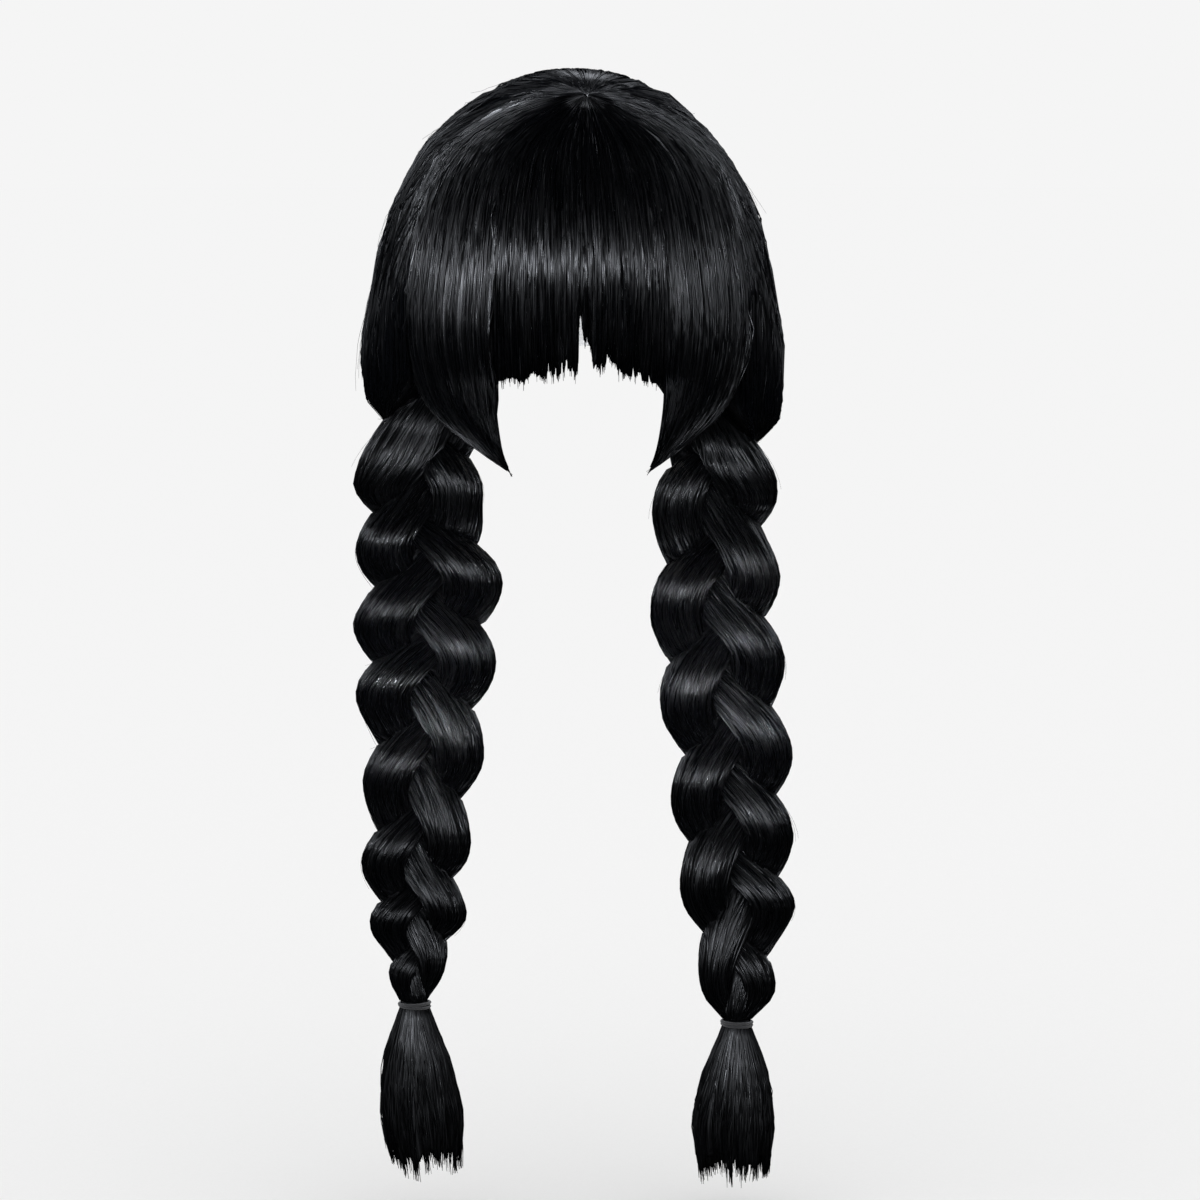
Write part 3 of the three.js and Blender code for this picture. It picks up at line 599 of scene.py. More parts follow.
def makeSheet(title, node, form, seed, grid, ends, plan=None):  # plan: the braid it is gathered into
    rng = np.random.default_rng(form.get("strandSeed", seed))
    u, v = sheetShares(form)
    calm, calmFrom = form["calm"]
    relief = combRelief(u[None], v[:, None], seed, form) * (1 - calm * ease(v, calmFrom, 1)[:, None])
    outer, inner, out = hairSheet(grid, form, relief, plan)
    parts = [shellPart(outer, inner), combStrands(rng, seed, outer, out, form, ends)]
    if plan is not None:
        parts += [fanStrands(rng, plan["side"]), drapedStrands(rng, outer, out)]
    parts.append(looseStrands(rng, outer, out, *form["loose"]))
    return makePiece(title, parts, blackHair, [node])


# Fringe: fans out from the whorl, swells in front and is cut blunt with one slanted slit

fringeForm = {
    "seed": 3, "pointSeed": 11, "strandSeed": 21, "columns": 320, "rows": 40, "halfAngle": 25.5,
    "overZ": (-28.0, -85.0), "cutShare": 0.93, "tuckZ": (85, 140), "ragged": 0.5, "point": 5, "lower": 1,
    "cut": [  # share across, height of the cut
        (0.0, -141.5), (0.1, -139.5), (0.18, -141.5), (0.215, -137), (0.3, -139.5), (0.314, -134.5),
        (0.363, -139.5), (0.44, -134.8), (0.474, -138.5), (0.481, -138), (0.486, -115), (0.491, -113.5),
        (0.505, -117.8), (0.52, -121), (0.54, -120), (0.555, -126), (0.568, -134.5), (0.588, -133),
        (0.618, -136.5), (0.637, -132), (0.652, -128.3), (0.667, -130.2), (0.7, -134.2), (0.735, -137),
        (0.8, -138.6), (0.868, -141), (0.975, -142.6), (1.0, -142)],
    "wall": (40, 13, 10), "wallAt": (0.35, 0.6), "thinAt": (0.6, 1), "calm": (0, 0.5),
    "locks": 8, "lockRelief": 1.1, "fineRelief": 0.3, "tilt": 0.35, "groove": 0.8, "clumps": 75,
    "strands": 1050, "samples": 13, "overhang": (0.012, 0.012), "rootSpread": 0.5, "wander": 0.008,
    "lift": 0.9, "radius": 0.4, "loose": (26, (0.1, 0.6), 5),  # loose: count, starts, how far they stand off
}


def fringeGrid(u, shares):
    rng = np.random.default_rng(fringeForm["pointSeed"])
    cut = np.array(fringeForm["cut"])
    clumps = clumpCentres(fringeForm["seed"], fringeForm)
    group = nearestClump(u, clumps)
    beside = np.minimum(2 * np.abs(u - clumps[group]) * len(clumps), 1.5)  # each clump ends in a point
    point = fringeForm["point"] * rng.random(len(clumps))[group] * beside
    ragged = fringeForm["ragged"] * rng.uniform(-1, 1, len(u))
    endZ = np.interp(u, cut[:, 0], cut[:, 1]) + ragged + point - fringeForm["lower"]
    angle = mix(-fringeForm["halfAngle"], fringeForm["halfAngle"], u)
    points = [domePoint(1, angle, np.full_like(u, z), 1.0) for z in fringeForm["overZ"]]
    tuck = mix(1, fringeForm["cutShare"], ease(-endZ, *fringeForm["tuckZ"]))
    points.append(domePoint(1, angle, endZ, tuck))
    return settleTop(flowLines(np.stack([whorlPoint(points[0])] + points), shares))


def fringeEnds(count, rng):
    return 1 + 0.012 * rng.standard_normal(count) - 0.12 * (rng.random(count) < 0.06)


grid = fringeGrid(*sheetShares(fringeForm))
makeSheet("fringeHair", "fringe", fringeForm, fringeForm["seed"], grid, fringeEnds)
print("fringe combed")

# Cheek locks: run on from the fringe's sides and close to a point

cheekForm = {
    "columns": 90, "rows": 60,
    "path": [  # inner angle, height, share of the dome, then the same for the outer edge
        (25.5, -28, 1.0, 54, -28, 1.0), (25.5, -85, 1.0, 54, -85, 1.0),
        (25.5, -118, 0.99, 53.5, -118, 0.99), (25.5, -140, 0.948, 52.8, -140, 0.953),
        (26.9, -157, 0.88, 49.9, -160, 0.887), (26.9, -175, 0.82, 40.5, -174.5, 0.81),
        (26.5, -181.5, 0.797, 32.8, -182, 0.79), (25.3, -187, 0.783, 26.5, -187.5, 0.785)],
    "wall": (40, 11, 9), "wallAt": (0.28, 0.5), "thinAt": (0.5, 1), "calm": (0.6, 0.75),
    "locks": 4, "lockRelief": 1.2, "fineRelief": 0.3, "tilt": 0.3, "groove": 0.6, "clumps": 36,
    "strands": 430, "samples": 16, "overhang": (0.05, 0.05), "rootSpread": 0.45, "wander": 0.015,
    "lift": 0.9, "radius": 0.4, "loose": (18, (0.2, 0.6), 4),
}


def cheekGrid(side, u, shares):
    points = np.stack([domePoint(side, mix(r[0], r[3], u), mix(r[1], r[4], u), mix(r[2], r[5], u))
                       for r in cheekForm["path"]])
    return settleTop(flowLines(np.concatenate([whorlPoint(points[0])[None], points]), shares))


def cheekEnds(count, rng):
    return 1.0 - 0.16 * rng.random(count) ** 3 + 0.01 * rng.standard_normal(count)


locks = []
for name, side, seed in (("left", -1, 31), ("right", 1, 32)):
    grid = cheekGrid(side, *sheetShares(cheekForm))
    title = "cheekLock" + name.capitalize()
    locks.append(makeSheet(title, "side_lock_" + name, cheekForm, seed, grid, cheekEnds))
print("cheek locks combed")

# Braids: what both share, then the heights of the bulges and the axis of each

braidForm = {
    "sides": 48, "slices": 160, "reachUp": 36, "swing": 0.6, "firstBroad": 0.24, "firstSpan": (-12, 14),
    "swell": 0.03, "depthSwing": 0.2, "depthLag": 0.5, "strandDepth": 0.4, "power": 2.3, "corner": 24,
    "gap": 0.15, "leastWide": 4, "leastReach": 0.5, "sunk": 0.4, "strands": 80, "samples": 66, "radius": 0.5,
    "wander": 0.16, "twist": 1.1, "loose": 30, "looseRadius": 0.15}
braidPlan = {
    "left": {
        "side": -1, "rootZ": -168, "root": (78, 8), "endZ": -477.5,
        "outerBulgeZ": [-135, -199, -236, -276, -314, -360, -403, -437, -469],
        "innerBulgeZ": [-160, -209, -255, -299, -348, -395, -432, -464],
        "axis": [  # height, distance out, depth, half width
            (-132, 64, -32, 16), (-150, 69, -18, 24), (-168, 75, -2, 28), (-183, 79, 0, 32),
            (-199, 81.5, 0, 33.7), (-216, 81.3, -3, 33), (-246, 77, -8, 37.8), (-300, 79.2, -11, 36.5),
            (-348, 80.5, -12, 31), (-402, 84.8, -13, 27.4), (-434, 84, -13.5, 24.5), (-461, 85, -14, 14.5),
            (-478, 85.3, -14, 8)],
        "tassel": [  # height, distance out, radius
            (-478, 85.5, 7), (-479.6, 85.6, 7.1), (-481.2, 85.7, 7.6), (-485.5, 85.7, 9.2),
            (-493.5, 85.6, 12.4), (-504.5, 84.9, 16.4), (-521, 83.6, 20), (-543, 81.6, 22),
            (-564, 79.4, 19.6)],
    },
    "right": {
        "side": 1, "rootZ": -181, "root": (75.5, 6), "endZ": -489.5,
        "outerBulgeZ": [-157, -205, -253, -297, -346, -390, -430, -473],
        "innerBulgeZ": [-160, -214, -268, -322, -369, -421, -473],
        "axis": [
            (-145, 67, -30, 12), (-163, 71, -16, 18), (-181, 74.5, -2, 25), (-192, 75, 0, 30),
            (-205, 75.6, 0, 32), (-252, 75, -8, 33.4), (-297, 77, -11, 34), (-346, 83.2, -12, 32),
            (-389, 84.6, -13, 31.2), (-427, 88, -13.5, 29), (-463, 87.3, -14, 20.7), (-479, 87.8, -14, 16.8),
            (-490, 87.2, -14, 8.4)],
        "tassel": [
            (-490, 87.2, 7), (-491.6, 87.1, 7.1), (-493.2, 87.1, 7.6), (-497.5, 87.1, 9.2),
            (-506, 86.8, 12.8), (-523, 86.4, 18.8), (-545, 85.4, 22), (-569, 86, 19.8)],
    },
}

# Side and back hair: parted behind and gathered round the root of each braid

crownForm = {
    "columns": 220, "rows": 56, "partTop": -18, "partNape": 86.3, "napeShare": 0.86, "partGap": 0.5,
    "ringWide": 22, "ringDeep": 20,
    "lines": [  # part, angle, height and share at two points, angle, lift and share over the root, turn
        (0.0, 55, -30, 0.985, 56.5, -95, 0.975, 63, 24, 0.89, 60),
        (0.0, 80, -25, 0.985, 82, -95, 0.975, 83, 18, 0.985, 80),
        (0.0, 110, -18, 0.99, 104, -90, 0.98, 96, 17, 0.985, 100),
        (0.12, 140, -8, 0.988, 126, -85, 0.99, 108, 18, 0.96, 130),
        (0.38, 160, -38, 0.992, 144, -95, 0.98, 121, 20, 0.9, 165),
        (0.7, 166, -88, 0.99, 150, -118, 0.94, 130, 24, 0.85, 200),
        (1.0, 170, -133.9, 0.86, 156, -138, 0.83, 138, 28, 0.78, 232)],
    "wall": (40, 13, 9), "wallAt": (0.62, 0.9), "thinAt": (0.86, 1), "calm": (0.5, 0.8),
    "locks": 8, "lockRelief": 0.9, "fineRelief": 0.3, "tilt": 0.8, "groove": 0.6, "clumps": 90,
    "strands": 980, "samples": 13, "overhang": (0.008, -0.001), "rootSpread": 0.4, "wander": 0.01,
    "lift": 1.0, "radius": 0.42, "loose": (90, (0.05, 0.75), 7),
}
fanForm = {"strands": 70, "samples": 12, "endX": 34, "endY": 30, "bow": 5, "lift": 0.8, "tuck": 2.2,
           "radius": 0.42}
drapeForm = {
    "strands": 45, "samples": 14, "start": (-0.01, 0.1), "across": (0.03, 0.14), "from": (0.12, 0.35),
    "to": (0.6, 0.93), "lift": (0.8, 2.0), "sway": 0.3, "radius": 0.36}


def crownGrid(plan, u, shares):
    side, (rootX, rootY), rootZ = plan["side"], plan["root"], plan["rootZ"]
    rows = np.array(crownForm["lines"])
    marks = np.linspace(0, 1, len(rows))
    columns = [readCurve(marks, column, u) for column in rows.T]
    part, a1, z1, s1, a2, z2, s2, a3, lift, s3, turn = columns
    first, second = domePoint(side, a1, z1, s1), domePoint(side, a2, z2, s2)
    above = domePoint(side, a3, rootZ + lift, s3)
    turn = radians(turn)
    ring = joined(side * (rootX + crownForm["ringWide"] * sin(turn)),
                  rootY - crownForm["ringDeep"] * cos(turn), np.full_like(u, rootZ + 0.5))
    part = np.maximum(part, 0)
    tilt = radians(mix(crownForm["partTop"], crownForm["partNape"], part))
    out = joined(np.zeros_like(u), sin(tilt), cos(tilt))
    drawnIn = mix(1, crownForm["napeShare"], ease(part, 0.6, 1))
    parting = domeCentre + out * (drawnIn * domeRadius(out))[..., None]
    parting[..., 0] = side * crownForm["partGap"]
    start = mix(whorlPoint(first), parting, ease(part, 0, 0.05)[..., None])
    return settleTop(flowLines(np.stack([start, first, second, above, ring]), shares))


def crownEnds(count, rng):
    return 1.0 + 0.02 * rng.random(count)


def fanStrands(rng, side):  # short hair that runs back from the whorl and covers the front of the parting
    count = fanForm["strands"]
    t = steps(fanForm["samples"])
    endX = side * fanForm["endX"] * mix(-0.1, 1, rng.random(count))
    endY = fanForm["endY"] * rng.uniform(0.5, 1.2, count) - 0.5 * np.abs(endX)
    bow = side * fanForm["bow"] * rng.uniform(0.2, 1, count) * sin(pi * t)
    x = mix(whorl["x"] + 0.06 * endX, endX, t) + bow
    y = mix(whorl["y"] + 2.0, endY, t)
    lift = fanForm["lift"] * ease(t, 0, 0.2) * mix(0.6, 1, rng.random(count))
    lift = lift - fanForm["tuck"] * ease(t, 0.75, 1)
    z = domeZ(x, y, mix(whorl["sunk"], 1, ease(t, 0, 0.25))) + lift
    lines = settleTop(joined(x, y, z))
    radius = fanForm["radius"] * mix(0.5, 1, sin(pi * t))
    return strandPart(lines, unit(lines - domeCentre), radius, uvShare["fan"])


def drapedStrands(rng, outer, out):  # strands of the front edge that cross over the side hair
    count = drapeForm["strands"]
    t = steps(drapeForm["samples"])
    u = rng.uniform(*drapeForm["start"], count) + rng.uniform(*drapeForm["across"], count) * ease(t, 0, 1)
    v = mix(rng.uniform(*drapeForm["from"], count), rng.uniform(*drapeForm["to"], count), t)
    thin = 0.3 + 0.7 * sin(pi * np.clip(t, 0.01, 0.99))
    lift = mix(*drapeForm["lift"], rng.random(count)) * thin + drapeForm["sway"] * waves(rng, t, count)
    return strandsOn(outer, out, u, v, lift, drapeForm["radius"] * thin, uvShare["fan"])


crowns = []
for seed, name in ((41, "left"), (42, "right")):
    plan = braidPlan[name]
    grid = crownGrid(plan, *sheetShares(crownForm))
    title = "crownHair" + name.capitalize()
    crowns.append(makeSheet(title, "crown_hair_" + name, crownForm, seed, grid, crownEnds, plan))
print("crown hair combed")

# Plaiting: three strands swing over and under each other round the braid's axis

coreForm = {"rows": 60, "sides": 12, "wide": 0.2, "deep": 0.1, "back": 0.4}


def bulgeClock(heights, offset, z):
    turns = [(n - 1 + offset) * tau / 3 for n in range(len(heights))]
    return readCurve([-h for h in heights], turns, -z)


def bothClocks(plan, z):
    return bulgeClock(plan["outerBulgeZ"], 0, z), bulgeClock(plan["innerBulgeZ"], 0.5, z)


def braidAxis(plan, column, z):
    return readCurve([-r[0] for r in plan["axis"]], [r[column] for r in plan["axis"]], -z)


def strandMiddles(plan, z):  # middles of the three strands across the braid, and their half widths
    outerClock, innerClock = bothClocks(plan, z)
    wide = braidAxis(plan, 3, z)
    firstLow, firstHigh = [plan["outerBulgeZ"][1] + step for step in braidForm["firstSpan"]]
    middles, halfWides = [], []
    for k in range(3):
        base = (outerClock + innerClock) / 2 + k * tau / 3
        turn = base + (outerClock - innerClock) / 2 * cos(base)
        broad = ease(z, firstLow, firstHigh) if k == 0 else 0 * z  # the first lobe is a broad one
        swing = braidForm["swing"] - braidForm["firstBroad"] * broad
        depth = braidForm["depthSwing"] * wide * sin(2 * turn - braidForm["depthLag"])
        middles.append(joined(swing * wide * cos(turn), depth))
        halfWides.append((1 - swing + braidForm["swell"] * (1 - cos(2 * turn))) * wide)
    return middles, halfWides


def strandSurface(plan, strand, z, polar, proud):  # points round a strand and the way out of it
    wide = np.maximum(braidAxis(plan, 3, z), braidForm["leastWide"])
    middles, halfWides = strandMiddles(plan, z)
    own = middles[strand]
    x, y = cos(polar), sin(polar)
    halfWide, halfDeep = halfWides[strand], braidForm["strandDepth"] * wide
    power, corner = braidForm["power"], braidForm["corner"]
    free = (np.abs(x / halfWide) ** power + np.abs(y / halfDeep) ** power) ** (1 / power)
    tight = free ** corner
    for k in range(3):
        if k == strand:
            continue
        way = middles[k] - own
        both = halfWide + halfWides[k]
        wall = unit(way / joined(both / 2, halfDeep) ** 2)  # flat side turned to the neighbour
        reachWall = (way * wall).sum(-1) * halfWide / both - braidForm["gap"]
        facing = x * wall[..., 0] + y * wall[..., 1]
        tight = tight + np.maximum(facing / np.maximum(reachWall, braidForm["leastReach"]), 0) ** corner
    reach = tight ** (-1 / corner) + proud
    side = plan["side"]
    points = joined(side * (braidAxis(plan, 1, z) + own[..., 0] + reach * x),
                    braidAxis(plan, 2, z) + own[..., 1] + reach * y, np.broadcast_to(z, polar.shape))
    return points, joined(side * x, y, np.zeros_like(x))


def turnHeights(plan, count):  # heights spread evenly over the braid's turns
    z = np.linspace(plan["rootZ"] + braidForm["reachUp"], plan["endZ"], 1500)
    clock = sum(bothClocks(plan, z))
    return np.interp(np.linspace(clock[0], clock[-1], count), clock, z)[:, None]


def braidCore(plan):  # dark hair in the middle of the plait
    z = turnHeights(plan, coreForm["rows"])
    polar = around(coreForm["sides"])
    wide = np.maximum(braidAxis(plan, 3, z), braidForm["leastWide"])
    x = braidAxis(plan, 1, z) + coreForm["wide"] * wide * cos(polar)
    y = braidAxis(plan, 2, z) + coreForm["deep"] * wide * (sin(polar) + coreForm["back"])
    return joined(plan["side"] * x, y, np.broadcast_to(z, x.shape))


def strandBody(plan, strand):
    z = turnHeights(plan, braidForm["slices"])
    polar = around(braidForm["sides"])
    groove = 0.35 * sin(9 * polar + 2 * sin(z / 23))
    groove = groove + 0.22 * sin(17 * polar + 3 * sin(z / 17 + 1))
    polar = np.broadcast_to(polar, groove.shape)
    rings, out = strandSurface(plan, strand, z, polar, groove - braidForm["sunk"])
    return loftPart(rings)


def laidStrands(rng, plan, strand):  # fine hair that follows the strand all the way down
    count = braidForm["strands"]
    z = turnHeights(plan, braidForm["samples"])
    t = steps(len(z))
    start = tau * (np.arange(count) + rng.uniform(0, 1, count)) / count
    polar = start + braidForm["wander"] * waves(rng, t, count, 2, 6) + braidForm["twist"] * t
    proud = 0.7 * rng.random(count) + 0.45 * waves(rng, t, count, 6, 14)
    lines, out = strandSurface(plan, strand, z, polar, proud)
    radius = braidForm["radius"] * rng.uniform(0.7, 1.35, count) * (1 - 0.5 * ease(t, 0.9, 1))
    return strandPart(lines, out, radius)


def strayStrands(rng, plan, strand):  # single hairs that stand off, a third of them near the root
    count = braidForm["loose"]
    z = turnHeights(plan, braidForm["samples"])
    along = steps(12)
    at = rng.random(count) * np.where(np.arange(count) % 3, 0.85, 0.12) + 0.13 * along
    polar = rng.uniform(0, tau, count) + rng.uniform(-1.2, 1.2, count) * along
    height = np.interp(at, np.linspace(0, 1, len(z)), z[:, 0])
    proud = 0.5 + rng.uniform(0.5, 3.5, count) * along ** 1.5
    lines, out = strandSurface(plan, strand, height, polar, proud)
    return strandPart(lines, out, braidForm["looseRadius"] * (1 - 0.6 * along), uvShare["loose"])


def makeBraidStrand(name, strand, letter, seed):
    rng = np.random.default_rng(seed)
    plan = braidPlan[name]
    parts = [strandBody(plan, strand), laidStrands(rng, plan, strand)]
    if letter == "b":
        parts.append(loftPart(braidCore(plan), uvShare["core"]))
    parts.append(strayStrands(rng, plan, strand))
    title = "braid" + name.capitalize() + "Strand" + letter.upper()
    return makePiece(title, parts, plaitHair, ["braid_" + name + "_strand_" + letter])


plaits = []
for index, name in enumerate(braidPlan):
    for strand, letter in enumerate("abc"):
        plaits.append(makeBraidStrand(name, strand, letter, 51 + 3 * index + strand))
    print("braid plaited:", name)

# Hair ties: an elastic wound twice round the end of the braid

tieForm = {
    "outer": 8.9, "cord": 0.75, "height": 2.7, "coils": 2, "coilStep": 0.15, "below": 0.2, "tilt": 0.45,
    "segments": 96, "sides": 12, "weave": 0.12, "weaveTurns": 28, "y": -14}
elasticFinish = {
    "scale": 60, "distortion": 0.6, "tones": ((0.006, 0.006, 0.0065), (0.024, 0.024, 0.026)),
    "edges": (0.1, 0.9), "grain": 0.35, "depth": 0.0003, "roughness": 0.8, "sheen": 0.2}


def tieMaterial():
    material, tree, shader = nodeTree("darkElastic")
    bands = addNode(tree, "TexWave", "Fac", {
        "Vector": mapCoords(tree), "Scale": elasticFinish["scale"],
        "Distortion": elasticFinish["distortion"]}, bands_direction="DIAGONAL")
    threadLook(tree, shader, bands, elasticFinish)
    return material


darkElastic = tieMaterial()


def makeTie(name, seed):
    rng = np.random.default_rng(seed)
    plan = braidPlan[name]
    topZ, middleX = plan["tassel"][0][:2]
    turn, polar = around(tieForm["segments"])[:, None], around(tieForm["sides"])[None]
    woven = tieForm["weaveTurns"] * turn
    thick = tieForm["cord"] + tieForm["weave"] * sin(woven + 3 * polar) * sin(woven - 3 * polar)
    parts = []
    for coil in range(tieForm["coils"]):
        middleZ = topZ - tieForm["below"] - tieForm["height"] * (coil + 0.5) / tieForm["coils"]
        tilt = tieForm["tilt"] * sin(turn + rng.uniform(0, 6.28))
        away = tieForm["outer"] - tieForm["cord"] - tieForm["coilStep"] * coil + thick * cos(polar)
        rings = joined(plan["side"] * middleX + away * cos(turn), tieForm["y"] + away * sin(turn),
                       middleZ + tilt + thick * sin(polar))
        rows, columns = rings.shape[:2]
        uvBox = (coil / tieForm["coils"], (coil + 0.95) / tieForm["coils"])
        quads, uv = gridQuads(rows + 1, columns, True, uvBox)
        quads = quads % (rows * columns)  # the last ring is the first again
        parts.append(faceOut({"points": rings.reshape(-1, 3), "quads": quads, "quadUv": uv, **noTris}))
    makePiece("hairTie" + name.capitalize(), parts, darkElastic, ["hair_tie_" + name])


makeTie("left", 61)
makeTie("right", 62)
print("ties wound")

# Tassels: loose brush below the tie with frayed ends

tasselForm = {"y": -14, "depthShare": 0.92, "tufts": 23, "longest": -7, "shortest": 4, "bodyRows": 30,
              "bodySides": 90, "bodyShort": 8, "bodyShare": 0.9, "strands": 680, "samples": 11, "radius": 0.4,
              "fray": 3.5, "shortCut": 18, "pull": 0.85}


def onBrush(plan, polar, z, share):  # a point round the brush at a height and a share of its radius
    rows = np.array(plan["tassel"])
    middle, radius = [readCurve(-rows[:, 0], rows[:, column], -z) for column in (1, 2)]
    deep = mix(1, tasselForm["depthShare"], ease(-z, -rows[1, 0], -rows[2, 0]))
    reach = radius * share
    return joined(plan["side"] * middle + reach * cos(polar),
                  tasselForm["y"] + deep * reach * sin(polar), z)


def nearestTuft(polar, turn):
    return np.abs(np.angle(np.exp(1j * (polar[..., None] - turn)))).argmin(-1)


def brushBody(plan, turn, tip):
    rows = plan["tassel"]
    polar = around(tasselForm["bodySides"])[None]
    bottom = tip[nearestTuft(polar, turn)] + tasselForm["bodyShort"]
    bottom = bottom + 2 * sin(7 * polar) + 1.5 * sin(16 * polar + 1)
    bottom = (bottom + np.roll(bottom, 1, 1) + np.roll(bottom, -1, 1)) / 3
    z = mix(rows[0][0], bottom, steps(tasselForm["bodyRows"]))
    flute = 0.02 * cos(11 * polar + 0.7 * sin(z / 15)) + 0.02 * cos(19 * polar + 2)
    flute = flute * ease(-z, -rows[1][0], -rows[2][0])  # none under the tie
    return loftPart(onBrush(plan, polar, z, tasselForm["bodyShare"] + flute))


def brushStrands(rng, plan, turn, tip):
    count = tasselForm["strands"]
    t = np.append((0, 0.012), np.linspace(0.06, 1, tasselForm["samples"] - 2))[:, None]  # short first step
    start = rng.uniform(0, tau, count)
    tuft = nearestTuft(start, turn)
    cut = tip[tuft] + tasselForm["fray"] * rng.uniform(-0.8, 1.6, count)
    cut = cut + tasselForm["shortCut"] * (rng.random(count) < 0.15) * rng.random(count)
    z = mix(plan["tassel"][0][0] - 1, cut, t ** 0.9)
    inside = np.sqrt(rng.uniform(0.15, 1.0, count)) + 0.05 * waves(rng, t, count)
    share = np.where(rng.random(count) < 0.65, 0.94 + 0.07 * waves(rng, t, count), inside)
    pull = np.angle(np.exp(1j * (turn[tuft] - start))) * tasselForm["pull"]
    polar = start + pull * rng.random(count) ** 0.5 * ease(t, 0.35, 1) + 0.05 * waves(rng, t, count)
    out = joined(cos(polar), sin(polar), np.zeros_like(polar))
    radius = tasselForm["radius"] * rng.uniform(0.6, 1.3, count) * (1 - 0.65 * ease(t, 0.8, 1))
    return strandPart(onBrush(plan, polar, z, share), out, radius)


def makeTassel(name, seed):
    rng = np.random.default_rng(seed)
    plan = braidPlan[name]
    turn = np.sort(rng.uniform(0, tau, tasselForm["tufts"]))
    drop = mix(tasselForm["longest"], tasselForm["shortest"], rng.random(len(turn)) ** 1.6)
    tip = plan["tassel"][-1][0] + drop
    parts = [brushBody(plan, turn, tip), brushStrands(rng, plan, turn, tip)]
    makePiece("tassel" + name.capitalize(), parts, brushHair, ["tassel_" + name])


makeTassel("left", 71)
makeTassel("right", 72)
print("tassels brushed")
print("triangles:", sum(triangleCount.values()), "most in one piece:", max(triangleCount.values()))

# Stage: pale floor under the tassels, soft light, camera

stageForm = {"drop": 22 * mm, "reach": 40.0, "cameraWhite": 0.913, "fillWhite": 1.06, "mirrorGrey": 0.005}
paperFinish = {"tones": ((0.85,) * 3, (0.87,) * 3), "edges": (0.3, 0.7), "scale": 900, "roughness": 0.95}


def makeFloor():
    z, r = cadLow[2] - stageForm["drop"], stageForm["reach"]
    mesh = bpy.data.meshes.new("paleFloor")
    mesh.from_pydata([(-r, -r, z), (r, -r, z), (r, r, z), (-r, r, z)], [], [(0, 1, 2, 3)])
    material, tree, shader = nodeTree("palePaper")
    inputs = {"Vector": addNode(tree, "TexCoord", "Object"), "Scale": paperFinish["scale"]}
    mottle = addNode(tree, "TexNoise", "Fac", inputs)
    plug(tree, shader, {"Base Color": twoTone(tree, mottle, paperFinish),
                        "Roughness": paperFinish["roughness"], "Specular IOR Level": 0.0})
    mesh.materials.append(material)
    floor = addObject("paleFloor", mesh)
    floor.visible_glossy = False
    return floor


def makeWorld():  # white to the eye and as fill, nearly black in reflections
    world = bpy.data.worlds.new("studio")
    world.use_nodes = True
    bpy.context.scene.world = world
    tree, grey = world.node_tree, stageForm["mirrorGrey"]
    rays = tree.nodes.new("ShaderNodeLightPath").outputs
    brightness = grey
    for ray, white in (("Is Camera Ray", "cameraWhite"), ("Is Diffuse Ray", "fillWhite")):
        inputs = {0: rays[ray], 1: stageForm[white] - grey, 2: brightness}
        brightness = addNode(tree, "Math", 0, inputs, operation="MULTIPLY_ADD")
    plug(tree, tree.nodes["Background"], {"Color": (1, 1, 1, 1), "Strength": brightness})


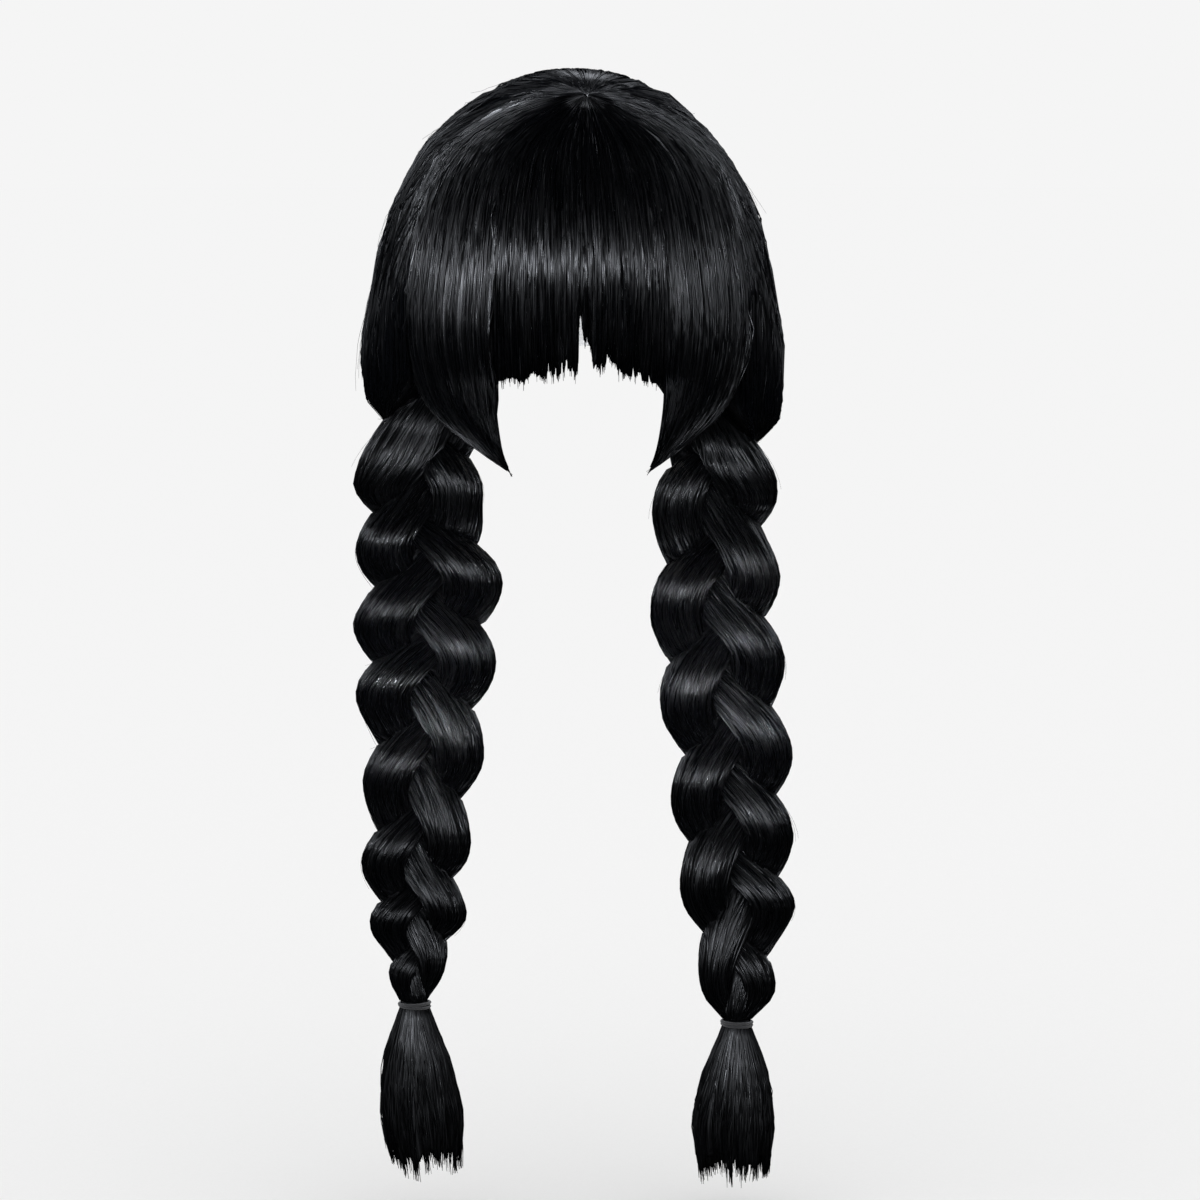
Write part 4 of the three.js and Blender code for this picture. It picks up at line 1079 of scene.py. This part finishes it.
coolWhite = (0.88, 0.92, 1.0)
lights = [  # name, what it lights, place, aim, width, height, watts, degrees of spread if it is a beam
    ("keySoftbox", "combed", (-0.55, -2.4, 0.705), (0, 0, -0.085), 1.4, 0.36, 46),
    ("lowSoftbox", "plaits", (-0.35, -2.4, -0.12), (0, 0, -0.3), 1.2, 0.8, 37),
    ("plaitBeam", "plaits", (-0.35, -2.4, -0.12), (0, 0, -0.3), 1.0, 0.08, 0.48, 5),
    ("leftSide", "crown", (-0.9, -2.2, 0.0), (0, 0, -0.1), 0.3, 0.5, 7),
    ("rightSide", "crown", (0.9, -2.2, 0.0), (0, 0, -0.1), 0.3, 0.5, 12),
    ("underSoftbox", "locks", (0, -1.5, -1.6), (0, -0.05, -0.16), 0.8, 0.5, 4),
    ("capSoftbox", "cap", (0, -1.3, -0.5), (0, 0.09, -0.12), 0.4, 0.15, 13),
    ("lockSoftbox", "locks", (-0.1, -2.4, 0.22), (0, 0, -0.1), 1.4, 0.35, 9),
    ("leftTop", "crown", (-1.3, -1.5, 1.3), (0, 0, -0.05), 0.4, 0.5, 36),
    ("rightTop", "crown", (1.3, -1.5, 1.3), (0, 0, -0.05), 0.4, 0.5, 25),
    ("leftStrip", "hair", (-2.0, 0.9, 0.9), (0, 0, -0.15), 0.5, 1.4, 9),
    ("rightStrip", "hair", (2.0, 0.9, 0.9), (0, 0, -0.15), 0.5, 1.4, 9),
    ("backSoftbox", "hair", (0.2, 1.9, 1.5), (0, 0, -0.1), 1.4, 0.8, 8),
]
cameraForm = {"place": (-0.092388, -2.183248, -0.015321), "aim": (0.014391, 0.0, -0.264368), "lens": 123.83,
              "sensor": 36}


def placeAimed(name, data, place, aim):
    thing = addObject(name, data)
    thing.location = place
    thing.rotation_euler = (Vector(aim) - Vector(place)).to_track_quat("-Z", "Y").to_euler()
    return thing


def makeLight(name, receivers, place, aim, width, height, watts, spread=180):
    data = bpy.data.lights.new(name, "AREA")
    data.shape = "RECTANGLE"
    data.size, data.size_y, data.energy = width, height, watts
    data.color = coolWhite
    data.spread = radians(spread)
    lamp = placeAimed(name, data, place, aim)
    lamp.visible_camera = False
    lamp.light_linking.receiver_collection = receivers


def litGroup(name, state, pieces):
    group = bpy.data.collections.new(name + "Lit")
    for piece in pieces:
        group.objects.link(piece)
    for entry in group.collection_objects:
        entry.light_linking.link_state = state
    return group


def makeCamera():
    data = bpy.data.cameras.new("viewCamera")
    data.lens = cameraForm["lens"]
    data.sensor_width = cameraForm["sensor"]
    bpy.context.scene.camera = placeAimed("viewCamera", data, cameraForm["place"], cameraForm["aim"])


paleFloor = makeFloor()
makeWorld()
litPieces = {  # the lamps leave the floor to the even sky
    "hair": ("EXCLUDE", [paleFloor]), "combed": ("EXCLUDE", [paleFloor, *plaits]),
    "plaits": ("INCLUDE", plaits), "crown": ("INCLUDE", crowns), "locks": ("INCLUDE", locks),
    "cap": ("INCLUDE", [wigCap])}
lit = {kind: litGroup(kind, *group) for kind, group in litPieces.items()}
for name, kind, *form in lights:
    makeLight(name, lit[kind], *form)
makeCamera()
bpy.context.scene.view_settings.view_transform = "Standard"
print("stage lit")
